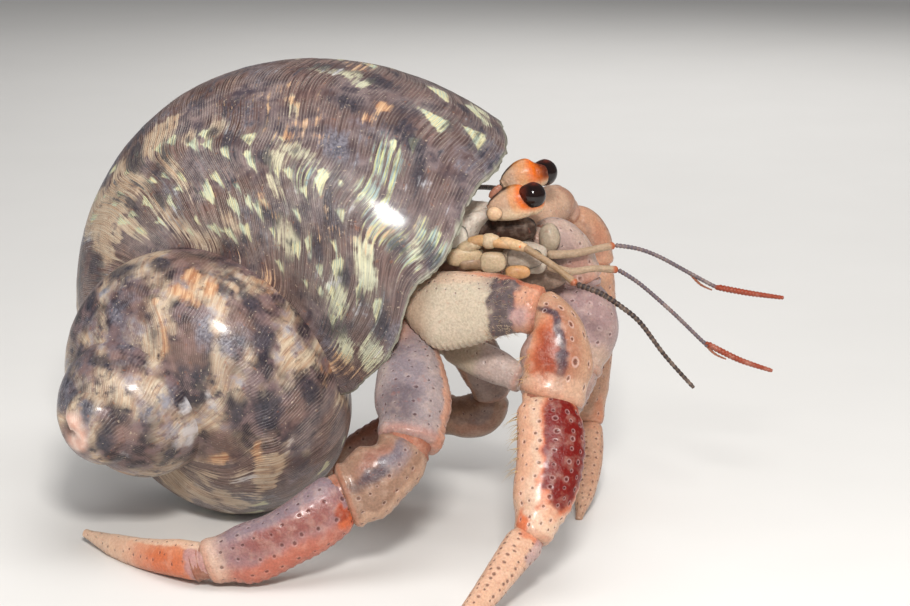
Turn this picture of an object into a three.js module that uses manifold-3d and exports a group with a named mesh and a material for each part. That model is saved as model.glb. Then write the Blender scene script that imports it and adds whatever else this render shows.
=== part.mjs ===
// Land hermit crab in a turban shell, a still life-size model.
// Millimetres, +Z up. The crab faces +X and its right side faces -Y.
// It stands on the floor, z = 0, on its walking legs and on the underside of the shell.
import * as THREE from 'three';
import { mergeVertices } from 'three/addons/utils/BufferGeometryUtils.js';
import Module from 'manifold-3d';

const wasm = await Module();
wasm.setup();

// ---------------------------------------------------------------- driving dimensions
const GAP = 0.3; // clearance between neighbouring pieces
const OVERRUN = 0.9; // how far a segment starts inside the one before it, before the cut
const RING_SIDES = 8; // sides of a limb's section
const RING_STEPS = 5; // steps along a limb segment
const FEELER_STEPS = 2; // steps between two points of a feeler

const SHELL = {
  mouthRadius: 23.2, // radius of the last whorl's section where the lip meets the suture
  growth: 2.054, // each turn is this many times the size of the one before
  axisOffset: 0.803, // section centre from the axis, in section radii
  spireDrop: 2.483, // section centre below the apex, in section radii
  stretch: 1.078, // section's size along the axis over its size across
  sutureAngle: 88, // degrees up the section where a whorl meets the one above
  // turns by which the worn outer lip stays behind the suture's end, at even steps round it
  lipLags: [0, 0.029, 0.055, 0.087, 0.096, 0.111, 0.123, 0.128, 0.136, 0.152, 0.161, 0.165, 0.167, 0.168],
  lipSpan: 174, // degrees from the suture to the last of those
  spireTurns: 3.4, // turns built, the first ones being the worn nub
  cavityTurns: 0.46, // how deep the open mouth goes
  wall: 0.07, // wall over section radius
  columella: 0.1, // least radius of the cavity about the axis
  lap: 0.03, // turns by which one stretch of the shell laps the next
};
const ABDOMEN = {
  turns: 0.24, // its length along the cavity, in turns
  fill: 0.9, // of the cavity, at its deep end
  taper: 0.34, // of the cavity that it gives up toward the mouth
  steps: 7,
  sides: 14,
};
const APEX = new THREE.Vector3(-50.7, -15.6, 17.0);
const SPIRE_WAY = new THREE.Vector3(-0.638, -0.745, -0.195); // from the shell's middle to its apex
const LIP_WAY = new THREE.Vector3(0.769, -0.605, -0.205); // from the axis to the suture's end

const RIGHT = new THREE.Vector3(0, -0.97, 0.24); // what the right limbs' broad sides face
const LEFT = new THREE.Vector3(0, 0.97, -0.24);
const UP = new THREE.Vector3(0, 0, 1);

// Colours of the materials.
const COLOURS = {
  shell: 0x6a5a5c,
  pale: 0xe2cdb4,
  leg: 0xd9a58a,
  claw: 0xc9a3a8,
  eye: 0x1a1210,
  feeler: 0x9a7a66,
  belly: 0xb98a78,
};

// A segment is a start, a bend and an end, with three lists at 0, 1/4, 1/2, 3/4 and 1 of its
// length: its width on the inner (or front) side, its width on the other side and half its
// thickness.
const LEGS = {
  leg2_right: {
    face: RIGHT,
    merus: [[-6.4, -3.8, 32.3], [1.9, -7.7, 33.3], [10.5, -11.9, 32.9],
      [2.8, 6.0, 5.6, 3.8, 2.9], [2.6, 3.7, 4.0, 3.9, 3.0], [2.0, 2.6, 2.7, 2.6, 2.4]],
    carpus: [[10.6, -11.9, 32.9], [14.7, -13.1, 32.3], [11.7, -16.4, 22.9],
      [2.9, 2.9, 4.0, 4.7, 3.6], [2.9, 2.9, 3.6, 4.7, 4.3], [2.4, 2.9, 3.2, 3.2, 2.8]],
    propodus: [[11.4, -16.5, 22.7], [12.6, -21.5, 15.2], [9.4, -26.4, 7.8],
      [3.8, 4.0, 3.9, 3.7, 2.1], [3.4, 4.4, 4.4, 3.7, 2.4], [2.6, 3.0, 2.9, 2.6, 2.0]],
    dactyl: [[9.0, -26.5, 7.6], [5.1, -33.7, 3.4], [-1.8, -42.4, -0.3],
      [2.6, 2.4, 2.0, 1.3, 0.5], [2.4, 1.8, 1.6, 1.3, 0.5], [2.0, 1.9, 1.6, 1.1, 0.5]],
  },
  leg3_right: {
    face: RIGHT,
    merus: [[-7.7, -1.2, 29.3], [-4.0, -6.0, 24.3], [-5.9, -15.9, 17.0],
      [2.4, 2.6, 4.6, 4.9, 3.7], [2.8, 3.2, 4.0, 4.8, 4.1], [2.2, 2.8, 3.0, 3.0, 2.6]],
    carpus: [[-6.4, -15.9, 16.9], [-8.2, -18.4, 12.9], [-13.7, -19.4, 11.1],
      [3.4, 3.1, 4.5, 4.3, 3.8], [3.4, 4.1, 4.1, 4.7, 4.3], [2.6, 3.0, 3.1, 2.9, 2.5]],
    propodus: [[-14.1, -19.5, 10.8], [-21.9, -22.1, 6.6], [-30.9, -22.3, 3.4],
      [3.6, 3.2, 2.6, 2.8, 2.5], [4.0, 4.7, 4.8, 4.8, 3.0], [2.5, 3.0, 2.9, 2.6, 2.0]],
    dactyl: [[-31.2, -22.3, 3.4], [-38.8, -16.9, 1.0], [-48.2, -5.3, 1.3],
      [2.3, 2.6, 2.2, 1.6, 0.6], [2.6, 2.1, 1.8, 1.5, 0.6], [2.0, 2.0, 1.7, 1.2, 0.5]],
  },
  leg2_left: {
    face: LEFT,
    merus: [[8.3, 8.2, 35.1], [12.1, 15.5, 43.4], [15.3, 19.4, 38.7],
      [2.4, 2.6, 2.6, 2.6, 1.6], [2.4, 2.6, 2.6, 2.6, 1.6], [2.0, 2.4, 2.4, 2.4, 2.0]],
    carpus: [[15.9, 19.7, 37.8], [18.7, 22.0, 36.6], [19.0, 21.7, 31.4],
      [2.0, 2.4, 2.6, 2.8, 2.6], [2.0, 2.4, 2.6, 2.8, 2.6], [2.0, 2.4, 2.6, 2.6, 2.4]],
    propodus: [[18.9, 21.7, 31.1], [19.0, 21.9, 19.6], [17.8, 17.4, 10.0],
      [2.8, 3.2, 3.0, 2.9, 2.4], [2.8, 3.4, 3.3, 3.0, 2.4], [2.4, 2.8, 2.7, 2.4, 2.0]],
    dactyl: [[17.7, 17.3, 9.6], [18.4, 12.9, 4.3], [16.6, 4.6, 0.1],
      [2.4, 2.4, 2.0, 1.4, 0.5], [2.4, 2.4, 2.0, 1.4, 0.5], [2.0, 1.9, 1.6, 1.1, 0.5]],
  },
  leg3_left: {
    face: LEFT,
    merus: [[-0.4, 7.2, 26.9], [3.3, 10.1, 22.0], [5.0, 13.6, 15.2],
      [2.4, 3.0, 3.2, 3.0, 2.4], [2.4, 3.0, 3.2, 3.0, 2.4], [2.0, 2.6, 2.8, 2.6, 2.2]],
    carpus: [[5.0, 13.4, 14.7], [4.5, 14.4, 10.4], [-1.2, 16.7, 11.2],
      [2.4, 2.8, 3.0, 2.9, 2.6], [2.4, 2.8, 3.0, 2.9, 2.6], [2.2, 2.6, 2.8, 2.6, 2.2]],
    propodus: [[-1.6, 16.7, 11.1], [-7.6, 18.2, 8.8], [-16.2, 19.4, 3.6],
      [2.4, 2.9, 2.9, 2.6, 2.1], [2.4, 2.9, 2.9, 2.6, 2.1], [2.2, 2.6, 2.5, 2.2, 1.8]],
    dactyl: [[-16.6, 19.5, 3.5], [-22.8, 20.6, 2.0], [-29.8, 22.0, 0.4],
      [1.9, 1.8, 1.6, 1.1, 0.5], [1.9, 1.8, 1.6, 1.1, 0.5], [1.8, 1.8, 1.5, 1.0, 0.5]],
  },
};

const CLAWS = {
  claw_right: {
    face: RIGHT,
    merus: [[-0.9, -0.4, 25.4], [3.2, -2.7, 24.3], [8.4, -5.3, 22.3],
      [1.8, 2.2, 2.3, 2.2, 1.8], [1.8, 2.2, 2.3, 2.2, 1.8], [1.6, 2.0, 2.1, 2.0, 1.7]],
    carpus: [[8.8, -5.3, 22.1], [11.6, -5.5, 21.5], [12.5, -5.3, 18.1],
      [1.8, 2.3, 2.5, 2.4, 2.0], [1.8, 2.3, 2.5, 2.4, 2.0], [1.7, 2.0, 2.2, 2.1, 1.8]],
    palm: [[12.5, -5.4, 17.8], [13.1, -5.3, 14.0], [12.1, -6.2, 10.2],
      [2.0, 2.8, 3.2, 3.1, 2.8], [2.0, 2.8, 3.2, 3.1, 2.8], [1.8, 2.2, 2.4, 2.2, 1.8]],
    fingerLength: 6.5,
  },
  claw_left: {
    face: LEFT,
    merus: [[5.9, 7.4, 32.7], [8.6, 7.2, 35.0], [11.3, 6.9, 38.1],
      [1.8, 2.2, 2.4, 2.3, 2.0], [1.8, 2.2, 2.4, 2.3, 2.0], [1.6, 2.0, 2.2, 2.0, 1.8]],
    carpus: [[11.6, 6.9, 38.3], [13.9, 8.5, 39.4], [17.0, 8.5, 32.2],
      [2.0, 2.4, 2.8, 3.0, 2.6], [2.0, 2.6, 3.0, 3.0, 2.6], [1.9, 2.6, 3.0, 3.0, 2.6]],
    palm: [[17.2, 8.4, 31.8], [16.0, 8.2, 26.6], [14.2, 4.8, 21.2],
      [2.6, 5.0, 6.0, 5.8, 5.0], [2.6, 5.0, 6.0, 5.8, 5.0], [2.6, 4.0, 4.6, 4.2, 3.4]],
    fingerLength: 10,
  },
};

const HEAD = {
  shield: [[-5.7, 6.5, 36.3], [-0.7, 5.3, 39.8], [4.0, 4.4, 42.3],
    [5.8, 6.5, 6.4, 5.8, 3.2], [5.8, 6.5, 6.4, 5.8, 3.2], [2.8, 3.3, 3.2, 2.8, 1.1]],
  thorax: [[-11, 8.6, 28.0], [-2.0, 5.6, 30.6], [5.4, 3.6, 35.2],
    [5.0, 6.0, 5.4, 4.6, 2.6], [5.0, 6.0, 5.4, 4.6, 2.6], [3.6, 4.6, 3.8, 3.0, 1.4]],
  stalk_right: [[4.7, 0.9, 42.9], [6.9, 1.2, 44.0], [10.0, 1.4, 44.9],
    [1.3, 1.8, 2.1, 2.1, 1.9], [1.3, 1.9, 2.4, 2.7, 2.0], [0.9, 1.2, 1.4, 1.5, 1.4]],
  stalk_left: [[6.5, 6.1, 45.2], [8.8, 6.7, 46.5], [11.3, 7.1, 47.0],
    [1.3, 1.9, 2.3, 2.6, 2.0], [1.3, 1.8, 1.9, 1.9, 1.8], [0.9, 1.2, 1.4, 1.5, 1.4]],
};
const EYES = { right: [10.5, 1.1, 45.4], left: [11.9, 6.9, 47.1] };
const EYE_RADII = [1.7, 1.6, 1.75];

// Feelers: the points they follow and their radius at each.
const FEELERS = {
  antenna_base_right: [[[1.6, -1.9, 39.6], [3.4, -2.4, 39.9], [5.4, -3.0, 39.7], [8.8, -4.0, 39.4]],
    [0.7, 1.05, 0.9, 0.75], 10],
  antenna_stalk_right: [[[9.4, -4.2, 39.2], [12.6, -5.7, 37.3], [15.5, -7.1, 35.2]],
    [0.5, 0.45, 0.5], 8],
  antenna_whip_right: [[[16.0, -7.3, 34.9], [18.4, -7.9, 34.3], [21.0, -8.3, 32.7], [23.6, -8.4, 30.5],
    [26.8, -8.4, 26.2], [30.6, -8.5, 21.9]], [0.38, 0.36, 0.34, 0.32, 0.28, 0.26], 6],
  antenna_base_left: [[[5.6, 9.4, 41.6], [6.3, 11.0, 42.0], [6.9, 13.2, 42.0], [7.4, 16.2, 41.7]],
    [0.7, 1.05, 0.9, 0.75], 10],
  antenna_stalk_left: [[[7.5, 16.8, 41.6], [7.8, 20.4, 41.2], [7.2, 24.4, 40.6]], [0.5, 0.45, 0.5], 8],
  antenna_whip_left: [[[7.1, 25.0, 40.5], [6.0, 29.5, 40.0], [3.0, 36.0, 38.8], [-2.0, 42.0, 37.0],
    [-8.0, 46.6, 34.4], [-14.0, 49.0, 31.0]], [0.38, 0.36, 0.34, 0.32, 0.28, 0.26], 6],
  antennule_base_right: [[[6.9, 0.4, 36.9], [9.4, 0.4, 36.3], [11.9, 0.2, 35.9]], [1.1, 1.4, 1.0], 10],
  antennule_stalk_right: [[[12.4, 0.2, 35.7], [15.0, 0.0, 35.2], [18.0, 0.4, 35.5], [21.2, 1.0, 35.2]],
    [0.6, 0.5, 0.45, 0.5], 8],
  antennule_whip_right: [[[21.7, 1.0, 35.0], [24.1, 0.9, 33.3], [28.3, 0.3, 29.7], [32.4, -0.3, 25.8],
    [33.2, -0.3, 25.4], [37.2, -0.3, 23.4], [41.5, -0.2, 21.9]],
  [0.3, 0.27, 0.27, 0.27, 0.4, 0.38, 0.26], 6],
  antennule_base_left: [[[7.4, 3.3, 37.6], [9.8, 3.3, 37.2], [12.0, 3.5, 36.6]], [1.0, 1.2, 0.9], 10],
  antennule_stalk_left: [[[12.5, 3.6, 36.4], [15.4, 4.2, 36.6], [18.2, 4.9, 37.0], [21.0, 5.7, 37.4]],
    [0.6, 0.55, 0.5, 0.5], 8],
  antennule_whip_left: [[[21.5, 5.7, 37.4], [24.0, 5.8, 36.9], [26.9, 5.8, 35.8], [30.9, 5.8, 33.6],
    [34.2, 5.4, 31.9], [35.0, 5.4, 31.7], [38.9, 5.7, 30.9], [43.4, 6.0, 30.2]],
  [0.3, 0.27, 0.27, 0.27, 0.27, 0.4, 0.38, 0.26], 6],
  maxilliped_right: [[[0.4, -2.2, 36.6], [2.7, -2.0, 36.9], [6.0, -1.4, 36.2]], [1.1, 1.35, 1.0], 10],
  maxilliped_left: [[[2.0, 9.0, 35.6], [4.6, 9.0, 36.0], [7.0, 8.4, 36.0]], [1.1, 1.35, 1.0], 10],
};

// ---------------------------------------------------------------- solids from rings
// Rings are lists of Vector3 with the same number of points, in order along the piece.
function geometryFromRings(rings) {
  const sides = rings[0].length;
  const points = rings.flat();
  const first = points.length;
  points.push(middle(rings[0]), middle(rings.at(-1)));
  const faces = [];
  for (let i = 0; i + 1 < rings.length; i++) {
    for (let j = 0; j < sides; j++) {
      const a = i * sides + j;
      const b = i * sides + ((j + 1) % sides);
      faces.push(a, b, b + sides, a, b + sides, a + sides);
    }
  }
  const last = (rings.length - 1) * sides;
  for (let j = 0; j < sides; j++) {
    const next = (j + 1) % sides;
    faces.push(first, next, j, first + 1, last + j, last + next);
  }
  const geometry = new THREE.BufferGeometry();
  geometry.setAttribute('position', new THREE.Float32BufferAttribute(points.flatMap((p) => p.toArray()), 3));
  geometry.setIndex(faces);
  return geometry;
}

function middle(ring) {
  return ring.reduce((sum, p) => sum.add(p), new THREE.Vector3()).divideScalar(ring.length);
}

function solidFrom(geometry) {
  const bare = geometry.clone();
  for (const name of Object.keys(bare.attributes)) {
    if (name !== 'position') bare.deleteAttribute(name);
  }
  const merged = mergeVertices(bare, 1e-5);
  const solid = new wasm.Manifold(new wasm.Mesh({
    numProp: 3,
    vertProperties: merged.attributes.position.array,
    triVerts: new Uint32Array(merged.index.array),
  }));
  return solid;
}

// Rings can be wound either way, so a solid that comes out inside out is turned.
function solidFromRings(rings) {
  const solid = solidFrom(geometryFromRings(rings));
  return solid.volume() > 0 ? solid : solidFrom(geometryFromRings(rings.map((ring) => [...ring].reverse())));
}

function geometryFromSolid(solid) {
  const mesh = solid.getMesh();
  const geometry = new THREE.BufferGeometry();
  geometry.setAttribute('position', new THREE.BufferAttribute(new Float32Array(mesh.vertProperties), 3));
  geometry.setIndex(new THREE.BufferAttribute(new Uint32Array(mesh.triVerts), 1));
  const shown = geometry.toNonIndexed();
  shown.computeVertexNormals();
  return shown;
}

function largest(solid) {
  const pieces = solid.decompose();
  return pieces.reduce((best, piece) => (piece.volume() > best.volume() ? piece : best));
}

function standOnFloor(solid) {
  return solid.trimByPlane([0, 0, 1], 0);
}

// ---------------------------------------------------------------- limb segments
function between(list, t) {
  const place = Math.min(t, 0.9999) * (list.length - 1);
  const i = Math.floor(place);
  const f = place - i;
  const at = (k) => list[Math.max(0, Math.min(list.length - 1, k))];
  const slopeIn = (at(i + 1) - at(i - 1)) / 2;
  const slopeOut = (at(i + 2) - at(i)) / 2;
  const f2 = f * f;
  const f3 = f2 * f;
  return at(i) * (2 * f3 - 3 * f2 + 1) + slopeIn * (f3 - 2 * f2 + f)
    + at(i + 1) * (3 * f2 - 2 * f3) + slopeOut * (f3 - f2);
}

const rounded = (x, power) => Math.sign(x) * Math.abs(x) ** power;

// One ring of a segment: an oval, a little squared, with its own width on each side.
function sectionRing(centre, along, face, widths, sides = RING_SIDES) {
  const side = new THREE.Vector3().crossVectors(along, face).normalize();
  const out = new THREE.Vector3().crossVectors(side, along).normalize();
  return Array.from({ length: sides }, (_, i) => {
    const angle = (2 * Math.PI * i) / sides;
    const across = rounded(Math.cos(angle), 0.85) * (Math.cos(angle) > 0 ? widths[0] : widths[1]);
    const thick = rounded(Math.sin(angle), 0.85) * widths[2];
    return centre.clone().addScaledVector(side, across).addScaledVector(out, thick);
  });
}

// The solid of a segment. grow makes it thicker all round, for cutting its neighbour clear.
function segment(spec, face, { grow = 0, startRun = OVERRUN, endRun = 0 } = {}) {
  const [start, bend, end] = spec.slice(0, 3).map((p) => new THREE.Vector3(...p));
  const curve = new THREE.QuadraticBezierCurve3(start, bend, end);
  const widths = (t) => spec.slice(3).map((list) => between(list, t) + grow);
  const rings = [];
  const first = curve.getTangent(0);
  rings.push(sectionRing(start.clone().addScaledVector(first, -startRun - grow), first, face, widths(0)));
  for (let i = 0; i <= RING_STEPS; i++) {
    const t = i / RING_STEPS;
    rings.push(sectionRing(curve.getPoint(t), curve.getTangent(t), face, widths(t)));
  }
  const last = curve.getTangent(1);
  rings.push(sectionRing(end.clone().addScaledVector(last, endRun + grow + 0.02), last, face, widths(1)));
  return solidFromRings(rings);
}

// A round feeler along a smooth line through its points.
function feeler([points, radii, sides], grow = 0) {
  const curve = new THREE.CatmullRomCurve3(points.map((p) => new THREE.Vector3(...p)));
  const steps = FEELER_STEPS * (points.length - 1);
  const rings = [];
  for (let i = 0; i <= steps; i++) {
    const t = i / steps;
    const radius = between(radii, t) + grow;
    rings.push(sectionRing(curve.getPoint(t), curve.getTangent(t), UP, [radius, radius, radius], sides));
  }
  return solidFromRings(rings);
}

// ---------------------------------------------------------------- the shell
function lipTurn(degrees) {
  const below = Math.max(0, SHELL.sutureAngle - degrees);
  return -between(SHELL.lipLags, Math.min(1, below / SHELL.lipSpan));
}

const shellAxis = SPIRE_WAY.clone().normalize();
const shellFrame = new THREE.Matrix4().makeBasis(
  LIP_WAY.clone().addScaledVector(shellAxis, -LIP_WAY.dot(shellAxis)).normalize(),
  new THREE.Vector3().crossVectors(SPIRE_WAY, LIP_WAY).normalize(),
  shellAxis,
).setPosition(APEX);

// A point of the coiled tube: its turn (0 at the suture's end, less before it), the angle
// round its section in degrees, and its distance from the section's centre in radii.
function shellPoint(turn, degrees, reach) {
  const size = SHELL.mouthRadius * SHELL.growth ** turn;
  const angle = THREE.MathUtils.degToRad(degrees);
  const fromAxis = Math.max(size * (SHELL.axisOffset + reach * Math.cos(angle)), 0.3);
  const height = size * (-SHELL.spireDrop + reach * SHELL.stretch * Math.sin(angle));
  const spin = 2 * Math.PI * turn;
  const point = new THREE.Vector3(fromAxis * Math.cos(spin), -fromAxis * Math.sin(spin), height);
  return point.applyMatrix4(shellFrame);
}

function whorl(from, to, steps, sides, reach) {
  const rings = [];
  for (let i = 0; i <= steps; i++) {
    rings.push(Array.from({ length: sides }, (_, j) => {
      const degrees = -180 + (360 * (j + 0.5)) / sides;
      const end = to(degrees);
      return shellPoint(from + ((end - from) * i) / steps, degrees, reach(degrees));
    }));
  }
  return solidFromRings(rings);
}

// How far the cavity reaches from the section's centre: to the wall, the whorl before or the axis.
function cavityReach(degrees) {
  const angle = THREE.MathUtils.degToRad(degrees);
  const before = {
    x: SHELL.axisOffset / SHELL.growth,
    z: -SHELL.spireDrop / SHELL.growth,
    r: 1.03 / SHELL.growth,
  };
  let reach = 0.1;
  while (reach < 1 - SHELL.wall) {
    const x = SHELL.axisOffset + reach * Math.cos(angle);
    const z = -SHELL.spireDrop + reach * SHELL.stretch * Math.sin(angle);
    const inside = Math.hypot((x - before.x) / before.r, (z - before.z) / (before.r * SHELL.stretch)) < 1;
    if (inside || x < SHELL.columella) break;
    reach += 0.01;
  }
  return reach;
}

// The whorls are built in stretches, finer toward the mouth, each lapping the one before it.
function shellSolid() {
  const whole = () => 1;
  const lap = SHELL.lap;
  const stretches = [
    // from turn, to turn, steps along, sides
    [-SHELL.spireTurns, -2.6, 7, 9],
    [-2.6, -1.8, 10, 11],
    [-1.8, -1.0, 14, 15],
    [-1.0, -0.5, 10, 20],
  ];
  const early = stretches.map(([from, to, steps, sides]) => whorl(from - lap, () => to, steps, sides, whole));
  const mouth = whorl(stretches.at(-1)[1] - lap, lipTurn, 9, 26, whole);
  const solid = [...early, mouth].reduce((a, b) => a.add(b));
  const cavity = whorl(-SHELL.cavityTurns, (degrees) => lipTurn(degrees) + 0.05, 9, 18, cavityReach);
  return largest(standOnFloor(solid.subtract(cavity)));
}

// The soft abdomen fills the deep end of the cavity and narrows toward the mouth.
function abdomenSolid() {
  const { turns, fill, taper, steps, sides } = ABDOMEN;
  const start = -SHELL.cavityTurns + 0.02;
  const straight = 0.4; // of its length, before it narrows
  const rings = [];
  for (let i = 0; i <= steps; i++) {
    const turn = start + (turns * i) / steps;
    const share = fill - taper * Math.max(0, i / steps - straight) ** 1.5;
    rings.push(Array.from({ length: sides }, (_, j) => {
      const degrees = -180 + (360 * (j + 0.5)) / sides;
      return shellPoint(turn, degrees, cavityReach(degrees) * share);
    }));
  }
  return solidFromRings(rings);
}

// ---------------------------------------------------------------- the crab
const solids = {}; // name: { solid, colour, roughness }

function keep(name, solid, colour, roughness = 0.45) {
  solids[name] = { solid: largest(solid), colour, roughness };
}

function ball(centre, radii, grow = 0) {
  const shape = new THREE.SphereGeometry(1, 10, 7);
  shape.scale(radii[0] + grow, radii[1] + grow, radii[2] + grow);
  shape.translate(...centre);
  return solidFrom(shape);
}

// Makes a limb's segments, each starting in a socket cut to fit the one before it.
function limb(name, parts, face, colour) {
  let before = null;
  for (const [part, spec] of parts) {
    let solid = segment(spec, face);
    if (before) solid = solid.subtract(before);
    keep(`${name}_${part}`, standOnFloor(largest(solid)), colour);
    before = segment(spec, face, { grow: GAP, startRun: 0.2 });
  }
}

function walkingLeg(name) {
  const { face, ...parts } = LEGS[name];
  limb(name, Object.entries(parts), face, COLOURS.leg);
}

// The fixed finger is one piece with the palm; the other finger lies beside it.
function claw(name) {
  const { face, fingerLength, ...parts } = CLAWS[name];
  limb(name, Object.entries(parts), face, COLOURS.claw);
  const [start, bend, end] = parts.palm.slice(0, 3).map((p) => new THREE.Vector3(...p));
  const along = new THREE.QuadraticBezierCurve3(start, bend, end).getTangent(1);
  const side = new THREE.Vector3().crossVectors(along, face).normalize();
  const half = parts.palm[3][4];
  const finger = (offset, shift) => {
    const root = end.clone().addScaledVector(side, half * offset).addScaledVector(along, shift);
    const tip = end.clone().addScaledVector(side, half * offset * 0.35).addScaledVector(along, fingerLength);
    const bow = root.clone().lerp(tip, 0.55).addScaledVector(side, half * offset * 0.35);
    const wide = [0.46, 0.42, 0.36, 0.24, 0.1].map((w) => w * half);
    return [root.toArray(), bow.toArray(), tip.toArray(), wide, wide, wide.map((w) => w * 1.1)];
  };
  const fixed = finger(-0.52, -0.5);
  const moving = finger(0.52, 0.35);
  const palmGrown = segment(parts.palm, face, { grow: GAP, startRun: 0 });
  const palm = solids[`${name}_palm`].solid.add(segment(fixed, face));
  keep(`${name}_palm`, palm, COLOURS.claw);
  const movingSolid = segment(moving, face).subtract(palmGrown)
    .subtract(segment(fixed, face, { grow: GAP }));
  keep(`${name}_finger`, movingSolid, COLOURS.claw);
}

function eye(side) {
  const face = side === 'right' ? RIGHT : LEFT;
  const stalk = segment(HEAD[`stalk_${side}`], face, { startRun: 0 });
  keep(`eyestalk_${side}`, stalk.subtract(ball(EYES[side], EYE_RADII, GAP)), COLOURS.pale);
  keep(`cornea_${side}`, ball(EYES[side], EYE_RADII), COLOURS.eye, 0.05);
}

keep('shell', shellSolid(), COLOURS.shell, 0.35);
keep('abdomen', abdomenSolid(), COLOURS.belly, 0.6);
Object.keys(LEGS).forEach(walkingLeg);
Object.keys(CLAWS).forEach(claw);
eye('right');
eye('left');
for (const [name, spec] of Object.entries(FEELERS)) keep(name, feeler(spec), COLOURS.feeler);

// Cuts the body clear of what lies against it, and a feeler clear of the piece it grows from.
function clear(name, ...cutters) {
  const entry = solids[name];
  entry.solid = largest(cutters.reduce((solid, cutter) => solid.subtract(cutter), entry.solid));
}

const grownLimb = (table, name, part) => (
  segment(table[name][part], table[name].face, { grow: GAP, startRun: OVERRUN })
);
const grownFeeler = (name) => feeler(FEELERS[name], GAP);

keep('shield', segment(HEAD.shield, UP), COLOURS.pale);
keep('thorax', segment(HEAD.thorax, UP), COLOURS.pale);
const shieldGrown = segment(HEAD.shield, UP, { grow: GAP });
const limbRoots = [
  ...Object.keys(LEGS).map((name) => grownLimb(LEGS, name, 'merus')),
  ...Object.keys(CLAWS).map((name) => grownLimb(CLAWS, name, 'merus')),
];
clear('thorax', shieldGrown, ...limbRoots, ...Object.keys(FEELERS).map(grownFeeler));
clear('shield', ...limbRoots, grownFeeler('antenna_base_right'), grownFeeler('antenna_base_left'));
clear(
  'leg2_left_merus',
  grownLimb(CLAWS, 'claw_left', 'merus'),
  grownLimb(CLAWS, 'claw_left', 'carpus'),
  grownFeeler('maxilliped_left'),
);
clear('claw_left_merus', grownFeeler('maxilliped_left'));
clear('leg3_right_merus', grownLimb(LEGS, 'leg2_right', 'merus'));
for (const side of ['right', 'left']) {
  clear(`eyestalk_${side}`, shieldGrown);
}

// ---------------------------------------------------------------- the scene graph
const crab = new THREE.Group();
for (const [name, { solid, colour, roughness }] of Object.entries(solids)) {
  const material = new THREE.MeshStandardMaterial({ color: colour, roughness, metalness: 0 });
  const mesh = new THREE.Mesh(geometryFromSolid(solid), material);
  mesh.name = name;
  crab.add(mesh);
}

// The origin is on the floor, under the middle of the whole model's box.
const box = new THREE.Box3().setFromObject(crab);
const centre = box.getCenter(new THREE.Vector3());
crab.position.set(-centre.x, -centre.y, 0);

export default crab;
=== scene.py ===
"""Land hermit crab in a turban shell, a still life-size model: its looks.

Lengths are in millimetres until a piece is made, and then in metres. The crab faces +X.
"""

import math

import bpy
import numpy as np
from mathutils import Matrix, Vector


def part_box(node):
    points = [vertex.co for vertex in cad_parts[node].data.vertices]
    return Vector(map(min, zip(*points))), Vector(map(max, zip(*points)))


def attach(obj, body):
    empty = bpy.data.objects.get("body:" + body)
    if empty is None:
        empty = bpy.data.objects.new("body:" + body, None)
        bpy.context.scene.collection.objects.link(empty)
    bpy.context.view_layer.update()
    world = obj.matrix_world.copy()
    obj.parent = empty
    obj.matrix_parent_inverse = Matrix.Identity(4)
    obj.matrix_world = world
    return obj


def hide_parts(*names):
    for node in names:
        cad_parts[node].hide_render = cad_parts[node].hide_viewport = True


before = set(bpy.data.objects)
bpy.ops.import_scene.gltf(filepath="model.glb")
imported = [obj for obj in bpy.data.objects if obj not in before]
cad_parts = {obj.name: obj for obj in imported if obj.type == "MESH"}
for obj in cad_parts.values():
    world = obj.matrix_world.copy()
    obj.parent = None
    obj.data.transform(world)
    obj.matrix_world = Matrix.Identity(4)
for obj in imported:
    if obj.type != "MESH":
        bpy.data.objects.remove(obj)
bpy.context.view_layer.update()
MM = 0.001
FLOOR_GAP = 0.00002  # metres between the lowest points and the floor
TURN = 2 * math.pi
rng = np.random.default_rng(7)

# ------------------------------------------------------------------ driving dimensions
RIGHT = (0, -0.97, 0.24)  # what the broad sides of the right limbs face
LEFT = (0, 0.97, -0.24)
UP = (0, 0, 1)

SHELL = {
    "mouth_radius": 23.2,  # of the last whorl's section where the lip meets the suture
    "growth": 2.054,  # per turn
    "axis_offset": 0.803,  # section centre from the axis, in section radii
    "spire_drop": 2.483,  # section centre below the apex, in section radii
    "stretch": 1.078,
    "suture_angle": 88,
    # turns by which the worn lip stays behind the suture's end, at even steps round it
    "lip_lags": (0, 0.029, 0.055, 0.087, 0.096, 0.111, 0.123, 0.128, 0.136, 0.152, 0.161, 0.165,
                 0.167, 0.168),
    "lip_span": 174,
    "spire_turns": 3.4,
    "cavity_turns": 0.45,
    "wall": 0.055,
    "columella": 0.1,
}
APEX = np.array([-50.7, -15.6, 17.0])
RIB_PITCH = 0.5  # of the fine growth lines
SPIRE_WAY = np.array([-0.638, -0.745, -0.195])
LIP_WAY = np.array([0.769, -0.605, -0.205])

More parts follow.
